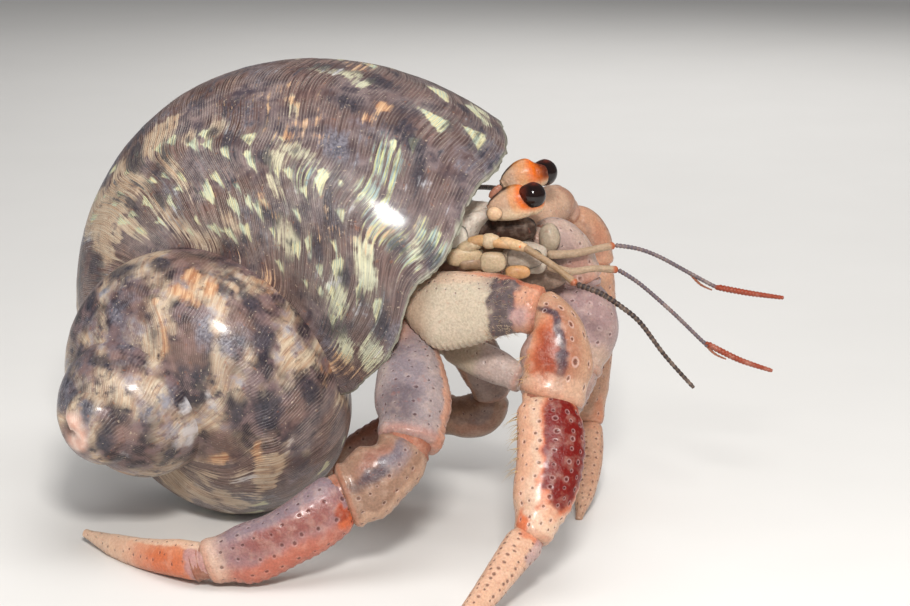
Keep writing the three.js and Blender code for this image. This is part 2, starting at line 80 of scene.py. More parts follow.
# A segment is a start, a bend and an end, then its width on the inner (or front) side, its
# width on the other side and half its thickness, each at 0, 1/4, 1/2, 3/4 and 1 of its length.
# Where the two widths are the same, they are given once.
LEGS = {
    "leg2_right": {
        "merus": [(-6.4, -3.8, 32.3), (1.9, -7.7, 33.3), (10.5, -11.9, 32.9),
                  (2.8, 6.0, 5.6, 3.8, 2.9), (2.6, 3.7, 4.0, 3.9, 3.0), (2.0, 2.6, 2.7, 2.6, 2.4)],
        "carpus": [(10.6, -11.9, 32.9), (14.7, -13.1, 32.3), (11.7, -16.4, 22.9),
                   (2.9, 2.9, 4.0, 4.7, 3.6), (2.9, 2.9, 3.6, 4.7, 4.3), (2.4, 2.9, 3.2, 3.2, 2.8)],
        "propodus": [(11.4, -16.5, 22.7), (12.6, -21.5, 15.2), (9.4, -26.4, 7.8),
                     (3.8, 4.0, 3.9, 3.7, 2.1), (3.4, 4.4, 4.4, 3.7, 2.4), (2.6, 3.0, 2.9, 2.6, 2.0)],
        "dactyl": [(9.0, -26.5, 7.6), (5.1, -33.7, 3.4), (-1.8, -42.4, -0.3),
                   (2.6, 2.4, 2.0, 1.3, 0.5), (2.4, 1.8, 1.6, 1.3, 0.5), (2.0, 1.9, 1.6, 1.1, 0.5)],
    },
    "leg3_right": {
        "merus": [(-7.7, -1.2, 29.3), (-4.0, -6.0, 24.3), (-5.9, -15.9, 17.0),
                  (2.4, 2.6, 4.6, 4.9, 3.7), (2.8, 3.2, 4.0, 4.8, 4.1), (2.2, 2.8, 3.0, 3.0, 2.6)],
        "carpus": [(-6.4, -15.9, 16.9), (-8.2, -18.4, 12.9), (-13.7, -19.4, 11.1),
                   (3.4, 3.1, 4.5, 4.3, 3.8), (3.4, 4.1, 4.1, 4.7, 4.3), (2.6, 3.0, 3.1, 2.9, 2.5)],
        "propodus": [(-14.1, -19.5, 10.8), (-21.9, -22.1, 6.6), (-30.9, -22.3, 3.4),
                     (3.6, 3.2, 2.6, 2.8, 2.5), (4.0, 4.7, 4.8, 4.8, 3.0), (2.5, 3.0, 2.9, 2.6, 2.0)],
        "dactyl": [(-31.2, -22.3, 3.4), (-38.8, -16.9, 1.0), (-48.2, -5.3, 1.3),
                   (2.3, 2.6, 2.2, 1.6, 0.6), (2.6, 2.1, 1.8, 1.5, 0.6), (2.0, 2.0, 1.7, 1.2, 0.5)],
    },
    "leg2_left": {
        "merus": [(8.3, 8.2, 35.1), (12.1, 15.5, 43.4), (15.3, 19.4, 38.7),
                  (2.4, 2.6, 2.6, 2.6, 1.6), (2.0, 2.4, 2.4, 2.4, 2.0)],
        "carpus": [(15.9, 19.7, 37.8), (18.7, 22.0, 36.6), (19.0, 21.7, 31.4),
                   (2.0, 2.4, 2.6, 2.8, 2.6), (2.0, 2.4, 2.6, 2.6, 2.4)],
        "propodus": [(18.9, 21.7, 31.1), (19.0, 21.9, 19.6), (17.8, 17.4, 10.0),
                     (2.8, 3.2, 3.0, 2.9, 2.4), (2.8, 3.4, 3.3, 3.0, 2.4), (2.4, 2.8, 2.7, 2.4, 2.0)],
        "dactyl": [(17.7, 17.3, 9.6), (18.4, 12.9, 4.3), (16.6, 4.6, 0.1),
                   (2.4, 2.4, 2.0, 1.4, 0.5), (2.0, 1.9, 1.6, 1.1, 0.5)],
    },
    "leg3_left": {
        "merus": [(-0.4, 7.2, 26.9), (3.3, 10.1, 22.0), (5.0, 13.6, 15.2),
                  (2.4, 3.0, 3.2, 3.0, 2.4), (2.0, 2.6, 2.8, 2.6, 2.2)],
        "carpus": [(5.0, 13.4, 14.7), (4.5, 14.4, 10.4), (-1.2, 16.7, 11.2),
                   (2.4, 2.8, 3.0, 2.9, 2.6), (2.2, 2.6, 2.8, 2.6, 2.2)],
        "propodus": [(-1.6, 16.7, 11.1), (-7.6, 18.2, 8.8), (-16.2, 19.4, 3.6),
                     (2.4, 2.9, 2.9, 2.6, 2.1), (2.2, 2.6, 2.5, 2.2, 1.8)],
        "dactyl": [(-16.6, 19.5, 3.5), (-22.8, 20.6, 2.0), (-29.8, 22.0, 0.4),
                   (1.9, 1.8, 1.6, 1.1, 0.5), (1.8, 1.8, 1.5, 1.0, 0.5)],
    },
}
CLAWS = {
    "claw_right": {
        "merus": [(-0.9, -0.4, 25.4), (3.2, -2.7, 24.3), (8.4, -5.3, 22.3),
                  (1.8, 2.2, 2.3, 2.2, 1.8), (1.6, 2.0, 2.1, 2.0, 1.7)],
        "carpus": [(8.8, -5.3, 22.1), (11.6, -5.5, 21.5), (12.5, -5.3, 18.1),
                   (1.8, 2.3, 2.5, 2.4, 2.0), (1.7, 2.0, 2.2, 2.1, 1.8)],
        "palm": [(12.5, -5.4, 17.8), (13.1, -5.3, 14.0), (12.1, -6.2, 10.2),
                 (2.0, 2.8, 3.2, 3.1, 2.8), (1.8, 2.2, 2.4, 2.2, 1.8)],
    },
    "claw_left": {
        "merus": [(5.9, 7.4, 32.7), (8.6, 7.2, 35.0), (11.3, 6.9, 38.1),
                  (1.8, 2.2, 2.4, 2.3, 2.0), (1.6, 2.0, 2.2, 2.0, 1.8)],
        "carpus": [(11.6, 6.9, 38.3), (13.9, 8.5, 39.4), (17.0, 8.5, 32.2),
                   (2.0, 2.4, 2.8, 3.0, 2.6), (2.0, 2.6, 3.0, 3.0, 2.6), (1.9, 2.6, 3.0, 3.0, 2.6)],
        "palm": [(17.2, 8.4, 31.8), (16.0, 8.2, 26.6), (14.2, 4.8, 21.2),
                 (2.6, 5.0, 6.0, 5.8, 5.0), (2.6, 4.0, 4.6, 4.2, 3.4)],
    },
}
FINGER_LENGTH = {"claw_right": 6.5, "claw_left": 10}
NEAR_STEP, NEAR_SIDES = 0.12, 128  # a limb's mesh, mm along and sides round, on the camera's side
FAR_STEP, FAR_SIDES = 0.25, 64
STRIPS = 6  # of a limb's unwrap, one for each part
SHADE = {"right": 0.84, "left": 0.6}  # of the limbs' colours, the far left ones darker as painted shade
WARMTH = 0.45  # how far the left second leg's colours are turned to a dim peach
HAIR_SPREAD, HAIR_DEPTH = 0.07, 0.08  # of the roots of a tuft, across the skin and into it
FLESH_VOXEL = 0.45

HEAD = {
    "shield": [(-5.7, 6.5, 36.3), (-0.7, 5.3, 39.8), (4.0, 4.4, 42.3),
               (5.8, 6.5, 6.4, 5.8, 3.2), (2.8, 3.3, 3.2, 2.8, 1.1)],
    "thorax": [(-11, 8.6, 28.0), (-2.0, 5.6, 30.6), (5.4, 3.6, 35.2),
               (5.0, 6.0, 5.4, 4.6, 2.6), (3.6, 4.6, 3.8, 3.0, 1.4)],
    "stalk_right": [(4.7, 0.9, 42.9), (6.9, 1.2, 44.0), (10.0, 1.4, 44.9),
                    (1.3, 1.8, 2.1, 2.1, 1.9), (1.3, 1.9, 2.4, 2.7, 2.0), (0.9, 1.2, 1.4, 1.5, 1.4)],
    "stalk_left": [(6.5, 6.1, 45.2), (8.8, 6.7, 46.5), (11.3, 7.1, 47.0),
                   (1.3, 1.9, 2.3, 2.6, 2.0), (1.3, 1.8, 1.9, 1.9, 1.8), (0.9, 1.2, 1.4, 1.5, 1.4)],
}
EYES = {"right": (10.5, 1.1, 45.4), "left": (11.9, 6.9, 47.1)}
EYE_RADII = (1.75, 1.6, 1.78)
# rings round the cornea, from the outermost in: colour, reach in eye radii and strength
EYE_RINGS = [((206, 128, 56), 2.1, 0.55), ((200, 92, 4), 1.6, 1.0), ((70, 24, 12), 1.2, 0.95)]
FEELERS = {
    "antenna_base_right": [[(1.6, -1.9, 39.6), (3.4, -2.4, 39.9), (5.4, -3.0, 39.7), (8.8, -4.0, 39.4)],
                           (0.7, 1.05, 0.9, 0.75)],
    "antenna_stalk_right": [[(9.4, -4.2, 39.2), (12.6, -5.7, 37.3), (15.5, -7.1, 35.2)], (0.5, 0.45, 0.5)],
    "antenna_whip_right": [[(16.0, -7.3, 34.9), (18.4, -7.9, 34.3), (21.0, -8.3, 32.7), (23.6, -8.4, 30.5),
                            (26.8, -8.4, 26.2), (30.6, -8.5, 21.9)], (0.38, 0.36, 0.34, 0.32, 0.28, 0.26)],
    "antenna_base_left": [[(5.6, 9.4, 41.6), (6.3, 11.0, 42.0), (6.9, 13.2, 42.0), (7.4, 16.2, 41.7)],
                          (0.7, 1.05, 0.9, 0.75)],
    "antenna_stalk_left": [[(7.5, 16.8, 41.6), (7.8, 20.4, 41.2), (7.2, 24.4, 40.6)], (0.5, 0.45, 0.5)],
    "antenna_whip_left": [[(7.1, 25.0, 40.5), (6.0, 29.5, 40.0), (3.0, 36.0, 38.8), (-2.0, 42.0, 37.0),
                           (-8.0, 46.6, 34.4), (-14.0, 49.0, 31.0)], (0.38, 0.36, 0.34, 0.32, 0.28, 0.26)],
    "antennule_base_right": [[(6.9, 0.4, 36.9), (9.4, 0.4, 36.3), (11.9, 0.2, 35.9)], (1.1, 1.4, 1.0)],
    "antennule_stalk_right": [[(12.4, 0.2, 35.7), (15.0, 0.0, 35.2), (18.0, 0.4, 35.5), (21.2, 1.0, 35.2)],
                              (0.6, 0.5, 0.45, 0.5)],
    "antennule_whip_right": [[(21.7, 1.0, 35.0), (24.1, 0.9, 33.3), (28.3, 0.3, 29.7), (32.4, -0.3, 25.8),
                              (33.2, -0.3, 25.4), (37.2, -0.3, 23.4), (41.5, -0.2, 21.9)],
                             (0.3, 0.27, 0.27, 0.27, 0.4, 0.38, 0.26)],
    "antennule_base_left": [[(7.4, 3.3, 37.6), (9.8, 3.3, 37.2), (12.0, 3.5, 36.6)], (1.0, 1.2, 0.9)],
    "antennule_stalk_left": [[(12.5, 3.6, 36.4), (15.4, 4.2, 36.6), (18.2, 4.9, 37.0), (21.0, 5.7, 37.4)],
                             (0.6, 0.55, 0.5, 0.5)],
    "antennule_whip_left": [[(21.5, 5.7, 37.4), (24.0, 5.8, 36.9), (26.9, 5.8, 35.8), (30.9, 5.8, 33.6),
                             (34.2, 5.4, 31.9), (35.0, 5.4, 31.7), (38.9, 5.7, 30.9), (43.4, 6.0, 30.2)],
                            (0.3, 0.27, 0.27, 0.27, 0.27, 0.4, 0.38, 0.26)],
    "maxilliped_right": [[(0.4, -2.2, 36.6), (2.7, -2.0, 36.9), (6.0, -1.4, 36.2)], (1.1, 1.35, 1.0)],
    "maxilliped_left": [[(2.0, 9.0, 35.6), (4.6, 9.0, 36.0), (7.0, 8.4, 36.0)], (1.1, 1.35, 1.0)],
}

for parts in (*LEGS.values(), *CLAWS.values(), HEAD):
    for spec in parts.values():
        if len(spec) == 5:
            spec.insert(4, spec[3])

# The skins run on from part to part, without the small gaps between the solids.
for kind in ("antenna", "antennule"):
    for side in ("right", "left"):
        base, stalk, whip = (FEELERS[f"{kind}_{part}_{side}"][0] for part in ("base", "stalk", "whip"))
        stalk[0], whip[0] = base[-1], stalk[-1]

# The frame's origin is under the middle of its box, so an eye says how far that is from here.
SHIFT = np.mean(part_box("cornea_right"), axis=0) / MM - np.array(EYES["right"])


# ------------------------------------------------------------------ numbers
def unit(v):
    v = np.asarray(v, float)
    return v / np.linalg.norm(v, axis=-1, keepdims=True)


def smooth(low, high, x):
    """0 below low, 1 above high, and an even slope between."""
    f = np.clip((x - low) / (high - low), 0, 1)
    return f * f * (3 - 2 * f)


def bump(x, centre, width):
    return np.exp(-(((x - centre) / width) ** 2))


def noise(points, size, seed=0):
    """Smooth noise from -1 to 1 whose lumps are about size across."""
    cell = np.asarray(points) / size + 19.7 * (seed + 1)
    base = np.floor(cell).astype(np.int64)
    part = cell - base
    part = part * part * (3 - 2 * part)
    total = np.zeros(len(cell))
    for corner in np.ndindex(2, 2, 2):
        x, y, z = (base + corner).T
        h = (x * 374761393 + y * 668265263 + z * 1442695041 + seed * 97) & 0xFFFFFFFF
        h = ((h ^ (h >> 13)) * 1274126177) & 0xFFFFFFFF
        value = ((h ^ (h >> 16)) & 0xFFFF) / 32767.5 - 1
        total += value * np.prod(np.where(corner, part, 1 - part), axis=1)
    return total


def between(values, t):
    """The smooth line through values spaced evenly over t = 0 to 1."""
    v = np.asarray(values, float)
    place = np.clip(t, 0, 0.9999) * (len(v) - 1)
    i = place.astype(int)
    f = (place - i).reshape(*np.shape(place), *[1] * (v.ndim - 1))
    at = lambda k: v[np.clip(k, 0, len(v) - 1)]
    slope_in, slope_out = (at(i + 1) - at(i - 1)) / 2, (at(i + 2) - at(i)) / 2
    return (at(i) * (2 * f**3 - 3 * f**2 + 1) + slope_in * (f**3 - 2 * f**2 + f)
            + at(i + 1) * (3 * f**2 - 2 * f**3) + slope_out * (f**3 - f**2))


# ------------------------------------------------------------------ surfaces
def grid_faces(rows, sides):
    """Quads of a closed tube of rings, with a flat cap of quads at each end."""
    i, j = np.meshgrid(np.arange(rows - 1), np.arange(sides), indexing="ij")
    a, b = (i * sides + j).ravel(), (i * sides + (j + 1) % sides).ravel()
    tube = np.stack([a, b, b + sides, a + sides], axis=1)
    k = np.arange(sides // 2 - 1)
    cap = np.stack([k, sides - 1 - k, sides - 2 - k, k + 1], axis=1)
    return np.concatenate([tube, cap, cap[:, ::-1] + (rows - 1) * sides])


def outward(points, faces):
    """Turns the faces round if they point inwards."""
    a, b, c, d = (points[faces[:, n]] for n in range(4))
    volume = np.sum(np.cross(c - a, d - b) * (a + b + c + d)) / 24
    return faces if volume > 0 else faces[:, ::-1]


def ring_normals(points, rows, sides):
    """Outward normals of a tube of rings, from its own slopes."""
    p = points.reshape(rows, sides, 3)
    along = np.gradient(p, axis=0)
    around = np.roll(p, -1, axis=1) - np.roll(p, 1, axis=1)
    n = np.cross(along, around)
    out = p - p.mean(axis=1, keepdims=True)
    flip = np.sign(np.sum(n * out, axis=(1, 2), keepdims=True))
    n = n * np.where(flip == 0, 1, flip)
    return (n / np.maximum(np.linalg.norm(n, axis=2, keepdims=True), 1e-9)).reshape(-1, 3)


def raised(points, rows, sides, rise):
    return points + ring_normals(points, rows, sides) * rise[:, None]


def sphere(rows, sides, gap):
    """Points of a ball of radius 1 as rings across X, its ends open by a gap in radians."""
    v, u = np.meshgrid(np.linspace(gap, math.pi - gap, rows), TURN * np.arange(sides) / sides,
                       indexing="ij")
    return np.stack([np.cos(v), np.sin(v) * np.cos(u), np.sin(v) * np.sin(u)], axis=-1).reshape(-1, 3)


class Skin:
    """Gathers patches of surface into one piece, each point with its colour and fields."""

    def __init__(self):
        self.points, self.faces, self.fields, self.count = [], [], [], 0

    def add(self, points, faces, **fields):
        self.points.append(points)
        self.faces.append(faces + self.count)
        self.fields.append(fields)
        self.count += len(points)

    def tube(self, points, rows, sides, **fields):
        """A closed patch made of rings."""
        self.add(points, outward(points, grid_faces(rows, sides)), **fields)

    def field(self, name):
        width = next(f[name].shape[1:] for f in self.fields if name in f)
        pairs = zip(self.fields, self.points)
        return np.concatenate([f.get(name, np.zeros((len(p), *width))) for f, p in pairs])

    def piece(self, name, material, slot, nodes=(), uv=None):
        points = (np.concatenate(self.points) + SHIFT) * MM
        points[:, 2] = np.maximum(points[:, 2], FLOOR_GAP)
        mesh = bpy.data.meshes.new(name)
        mesh.from_pydata(points.tolist(), [], np.concatenate(self.faces).tolist())
        for field in sorted({key for f in self.fields for key in f}):
            values = self.field(field)
            if values.ndim == 2:
                data = mesh.attributes.new(field, "FLOAT_COLOR", "POINT").data
                data.foreach_set("color", np.c_[values, np.ones(len(values))].ravel())
            else:
                mesh.attributes.new(field, "FLOAT", "POINT").data.foreach_set("value", values)
        if uv is not None:
            index = np.zeros(len(mesh.loops), int)
            mesh.loops.foreach_get("vertex_index", index)
            mesh.uv_layers.new(name="OFBake").data.foreach_set("uv", uv[index].ravel())
        mesh.materials.append(material)
        mesh.shade_smooth()
        obj = bpy.data.objects.new(name, mesh)
        bpy.context.scene.collection.objects.link(obj)
        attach(obj, "root")
        if nodes:
            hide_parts(*nodes)
        return obj


# ------------------------------------------------------------------ materials
class Nodes:
    """Short names for the shader nodes that the materials are made of."""

    def __init__(self, name):
        self.material = bpy.data.materials.new(name)
        self.material.use_nodes = True
        self.tree = self.material.node_tree
        self.shader = self.tree.nodes["Principled BSDF"]

    def node(self, kind, inputs=(), **settings):
        made = self.tree.nodes.new(kind)
        for key, value in settings.items():
            setattr(made, key, value)
        for key, value in dict(inputs).items():
            self.give(made.inputs[key], value)
        return made

    def give(self, socket, value):
        if isinstance(value, bpy.types.NodeSocket):
            self.tree.links.new(value, socket)
        else:
            opaque = socket.type == "RGBA" and isinstance(value, tuple) and len(value) == 3
            socket.default_value = (*value, 1) if opaque else value

    def field(self, name):
        return self.node("ShaderNodeAttribute", attribute_name=name).outputs["Fac"]

    def paint(self, name):
        return self.node("ShaderNodeAttribute", attribute_name=name).outputs["Color"]

    def math(self, operation, a, b=0.0):
        return self.node("ShaderNodeMath", {0: a, 1: b}, operation=operation).outputs[0]

    def plus(self, a, b):
        return self.math("ADD", a, b)

    def times(self, *factors):
        total = factors[0]
        for factor in factors[1:]:
            total = self.math("MULTIPLY", total, factor)
        return total

    def centred(self, value):
        return self.math("SUBTRACT", value, 0.5)

    def ramp(self, value, low, high):
        inputs = {"Value": value, "From Min": low, "From Max": high}
        return self.node("ShaderNodeMapRange", inputs, interpolation_type="SMOOTHSTEP").outputs[0]

    def mix(self, factor, a, b, blend="MIX"):
        made = self.node("ShaderNodeMix", data_type="RGBA", blend_type=blend)
        self.give(made.inputs[0], factor)
        self.give(made.inputs[6], a)
        self.give(made.inputs[7], b)
        return made.outputs[2]

    def noise(self, size, detail=3.0, stretch=None, roughness=0.55):
        """Noise over the object, its lumps size mm across, or over a stretched field vector."""
        place = self.node("ShaderNodeTexCoord").outputs["Object"] if stretch is None else stretch
        scale = 1 / (size * MM) if stretch is None else 1 / size
        inputs = {"Vector": place, "Scale": scale, "Detail": detail, "Roughness": roughness}
        return self.node("ShaderNodeTexNoise", inputs).outputs["Fac"]

    def vector(self, x, y, z=0.0):
        return self.node("ShaderNodeCombineXYZ", {0: x, 1: y, 2: z}).outputs[0]

    def blend(self, value, low, high, one, other):
        """From one screen colour to the other as value goes from low to high."""
        return self.mix(self.ramp(value, low, high), srgb(*one), srgb(*other))

    def bump(self, height, depth, normal=None):
        inputs = {"Height": height, "Distance": depth * MM, "Strength": 1.0}
        if normal is not None:
            inputs["Normal"] = normal
        return self.node("ShaderNodeBump", inputs).outputs[0]

    def finish(self, colour, roughness, normal=None, **constants):
        self.give(self.shader.inputs["Base Color"], colour)
        self.give(self.shader.inputs["Roughness"], roughness)
        if normal is not None:
            self.give(self.shader.inputs["Normal"], normal)
        for key, value in constants.items():
            self.shader.inputs[key.replace("_", " ")].default_value = value
        return self.material


def srgb(r, g, b):
    """A colour given as 0 to 255 screen values."""
    c = np.array([r, g, b]) / 255
    return tuple(float(x) for x in np.where(c > 0.04045, ((c + 0.055) / 1.055) ** 2.4, c / 12.92))


def tone(colour):
    return np.array(srgb(*colour))


def toward(colours, aim, amount):
    return colours + amount * (aim - colours)


def shell_material():
    n = Nodes("turban_shell")
    growth, around, spire, green = (n.field(name) for name in ("growth", "around", "spire", "green"))
    body = n.math("SUBTRACT", 1.0, spire)
    lumps, fine, worn = n.noise(1.7, 5.0), n.noise(0.45, 4.0), n.noise(2.4, 7.0)
    # bars and hairs run across the growth, so each growth line has its own tone
    bars = n.noise(1.0, 3.0, n.vector(n.times(growth, 1.5), n.times(around, 0.13)))
    hairs = n.noise(1.0, 2.0, n.vector(n.times(growth, 3.4), n.times(around, 0.2)))
    strands = n.ramp(hairs, 0.42, 0.6)
    wave = n.math("SINE", n.plus(n.times(growth, TURN / RIB_PITCH), n.times(n.noise(3.4, 3.0), 2.0)))
    rib = n.times(n.ramp(wave, -0.5, 1.0), n.field("ribbed"), n.ramp(n.noise(3.2, 2.0), 0.36, 0.56))
    wander = n.plus(n.times(n.centred(lumps), 3.4), n.times(n.centred(bars), 5.0, body))

    def mask(field, soft, share=1.0):
        """Where a field of marks is, its edge soft mm wide and ragged by a share of the wander."""
        return n.ramp(n.plus(n.field(field), n.times(wander, share)), -soft, soft)

    def over(amount, colour):
        """Lays a colour on the shell's, and keeps the outcome."""
        nonlocal shell
        shell = n.mix(amount, shell, colour)

    # the body whorl's brown and mauve, and the older, darker spire
    brown = n.blend(bars, 0.38, 0.62, (76, 50, 44), (136, 106, 96))
    mauve = n.blend(lumps, 0.34, 0.66, (72, 62, 70), (142, 122, 118))
    old = n.blend(worn, 0.4, 0.62, (38, 29, 38), (112, 90, 90))
    old = n.mix(n.times(n.ramp(n.noise(6, 5.0), 0.48, 0.64), 0.45), old, srgb(140, 108, 94))
    shell = n.mix(spire, n.mix(n.ramp(n.noise(8, 3.0), 0.42, 0.62), brown, mauve), old)
    over(n.times(rib, 0.34), n.blend(fine, 0.35, 0.65, (166, 146, 134), (196, 182, 170)))
    over(n.times(green, 0.4), n.blend(lumps, 0.3, 0.7, (62, 54, 58), (98, 88, 92)))
    over(n.times(mask("grey", 0.9), 0.8), n.blend(fine, 0.35, 0.65, (78, 76, 86), (122, 120, 130)))
    # cream marks: crisp on the body whorl, soft and worn on the spire
    flakes = n.ramp(n.noise(1.5, 5.0), 0.3, 0.5)
    cream = n.mix(green, n.blend(bars, 0.3, 0.7, (184, 150, 120), (212, 194, 168)),
                  n.blend(bars, 0.34, 0.64, (182, 188, 168), (214, 212, 176)))
    cream = n.mix(n.times(n.ramp(hairs, 0.56, 0.7), 0.6), cream, srgb(134, 104, 92))
    cream = n.mix(n.times(spire, n.ramp(worn, 0.5, 0.7)), cream, srgb(158, 156, 162))
    crisp = n.times(mask("cream", 0.6), n.times(n.plus(0.45, n.times(flakes, 0.45)), body))
    soft = n.times(mask("cream", 1.3), spire, flakes)
    over(n.plus(crisp, n.times(soft, 0.85)), cream)
    lit = n.times(mask("lime", 0.8), n.ramp(bars, 0.4, 0.58))
    over(n.times(lit, 0.85), n.mix(strands, srgb(150, 172, 170), srgb(206, 208, 146)))
    # tents: a pale halo, then the crisp mark
    halo = n.times(mask("tent", 2.6, 0.6), strands, body)
    over(n.times(halo, 0.42), n.blend(fine, 0.3, 0.7, (150, 158, 156), (192, 194, 174)))
    over(mask("tent", 0.2, 0.24), n.blend(hairs, 0.4, 0.62, (212, 202, 158), (182, 192, 170)))
    over(n.times(mask("dark", 0.7, 0.9), 0.85), n.blend(fine, 0.3, 0.7, (28, 29, 40), (62, 58, 68)))
    over(n.times(mask("orange", 0.5, 0.8), 0.85), n.blend(bars, 0.35, 0.65, (164, 108, 70), (220, 180, 140)))
    over(n.times(mask("worn", 0.6), 0.75), srgb(204, 200, 202))
    over(n.times(n.ramp(n.noise(0.34, 1.0, roughness=0.3), 0.70, 0.76), 0.4), srgb(206, 188, 164))  # specks
    over(n.times(n.ramp(n.noise(0.9, 3.0), 0.66, 0.72), 0.4), srgb(140, 84, 52))  # stains
    over(n.field("nub"), n.blend(lumps, 0.3, 0.7, (212, 160, 138), (236, 208, 192)))
    over(n.field("rim"), srgb(158, 156, 138))
    over(n.field("nacre"), n.blend(lumps, 0.3, 0.7, (206, 200, 190), (228, 222, 214)))
    normal = n.bump(n.plus(rib, n.times(hairs, n.field("ribbed"))), 0.09)
    normal = n.bump(n.plus(lumps, n.times(fine, 0.5)), 0.13, normal)
    rough = n.plus(0.22, n.times(n.noise(1.6, 4.0), 0.4))
    return n.finish(shell, rough, normal, Coat_Weight=0.3, Coat_Roughness=0.16)


def plate_material(name, roughness=0.33, wax=0.2):
    """The crab's hard plates: painted, finely grained, with dark pits in pale rings."""
    n = Nodes(name)
    fine, lumps = n.noise(0.3, 4.0), n.noise(1.3, 4.0)
    paint, pit = n.paint("paint"), n.field("pit")
    colour = n.mix(0.2, paint, n.ramp(fine, 0.2, 0.85), "OVERLAY")
    colour = n.mix(n.times(n.ramp(lumps, 0.45, 0.72), 0.14), colour, srgb(236, 206, 184))
    colour = n.mix(n.times(n.ramp(n.noise(0.8, 3.0), 0.6, 0.72), 0.25), colour, srgb(150, 84, 66))
    ring = n.times(n.ramp(pit, 1.9, 1.35), n.ramp(pit, 0.8, 1.15), n.field("ring"))
    colour = n.mix(ring, colour, n.mix(0.5, paint, srgb(222, 196, 190)))
    colour = n.mix(n.times(n.ramp(pit, 1.1, 0.6), 0.85), colour, n.paint("spot"))
    grain = n.plus(lumps, n.times(fine, 0.6))
    normal = n.bump(n.ramp(pit, 0.5, 1.5), 0.1, n.bump(grain, 0.13))
    rough = n.plus(roughness - 0.1, n.times(n.noise(0.7, 3.0), 0.26))
    return n.finish(colour, rough, normal, Coat_Weight=wax, Coat_Roughness=0.18, Subsurface_Weight=0.06,
                    Subsurface_Scale=0.0008, Specular_IOR_Level=0.3)


def soft_material():
    n = Nodes("soft_skin")
    fine, paint = n.noise(0.5, 4.0), n.paint("paint")
    colour = n.mix(n.ramp(fine, 0.2, 0.8), paint, n.mix(0.3, paint, srgb(255, 224, 200)))
    return n.finish(colour, 0.5, n.bump(fine, 0.12), Subsurface_Weight=0.12, Subsurface_Scale=0.001)


def hair_material():
    n = Nodes("bristle")
    tone, paint = n.ramp(n.noise(2.5, 2.0), 0.3, 0.7), n.paint("paint")
    return n.finish(n.mix(tone, paint, n.mix(0.35, paint, srgb(90, 60, 44))), 0.45)


def eye_material():
    n = Nodes("cornea")
    colour = n.mix(n.ramp(n.noise(0.9, 3.0), 0.45, 0.75), n.paint("paint"), srgb(30, 16, 12))
    facets = n.bump(n.noise(0.12, 1.0), 0.01)
    return n.finish(colour, 0.12, facets, Coat_Weight=0.4, Coat_Roughness=0.04, Specular_IOR_Level=0.3)


MATERIALS = {
    "shell": shell_material(),
    "plate": plate_material("leg_plate"),
    "body": plate_material("body_plate", roughness=0.44, wax=0.08),
    "feeler": plate_material("feeler_plate", roughness=0.42, wax=0.1),
    "soft": soft_material(),
    "hair": hair_material(),
    "eye": eye_material(),
}


# ------------------------------------------------------------------ the shell
def lip_turn(degrees):
    below = np.maximum(0, SHELL["suture_angle"] - degrees)
    return -between(SHELL["lip_lags"], np.minimum(1, below / SHELL["lip_span"]))


def suture_fill(turn, degrees):
    """How far, in radii, the groove against the whorls before and after is filled up."""
    g, offset, drop, stretch = (SHELL[k] for k in ("growth", "axis_offset", "spire_drop", "stretch"))
    angle = np.radians(degrees)
    x, z = offset + np.cos(angle), -drop + stretch * np.sin(angle)

    def share(t):
        return 0.05 + 0.3 * smooth(-0.5, -1.1, t) + 0.75 * smooth(-1.1, -1.9, t)

    def lift(away, blend):
        return np.maximum(blend - np.maximum(away, 0), 0) ** 2 / (4 * blend)

    before = lift(np.hypot(x - offset / g, (z + drop / g) / stretch) - 1 / g, share(turn))
    after = lift(np.hypot(x - offset * g, (z + drop * g) / stretch) - g, share(turn + 1) * g)
    return before + after * smooth(0, -0.06, turn + 1)


def shell_points(turn, degrees, reach):
    size = SHELL["mouth_radius"] * SHELL["growth"] ** turn
    angle = np.radians(degrees)
    from_axis = np.maximum(size * (SHELL["axis_offset"] + reach * np.cos(angle)), 0.3)
    height = size * (-SHELL["spire_drop"] + reach * SHELL["stretch"] * np.sin(angle))
    spin = TURN * turn
    z = unit(SPIRE_WAY)
    x = unit(LIP_WAY - z * (LIP_WAY @ z))
    y = np.cross(z, x)
    local = [from_axis * np.cos(spin), -from_axis * np.sin(spin), height]
    return sum(c[..., None] * axis for c, axis in zip(local, (x, y, z))) + APEX


def cavity_reach(degrees):
    """How far the mouth's inside reaches: to the wall, the whorl before or the axis."""
    angle = np.radians(degrees)
    g, offset, drop, stretch = (SHELL[k] for k in ("growth", "axis_offset", "spire_drop", "stretch"))
    reach = np.full(len(angle), 1 - SHELL["wall"])
    for r in np.arange(1 - SHELL["wall"], 0.1, -0.01):
        x = offset + r * np.cos(angle)
        z = -drop + r * stretch * np.sin(angle)
        inside = np.hypot(x - offset / g, (z + drop / g) / stretch) < 1.02 / g
        reach = np.where(inside | (x < SHELL["columella"]), r - 0.01, reach)
    return reach


SIDES = 240  # of the shell's mesh
FAR_OUTSIDE = -4.0  # a marks field's value where there is none
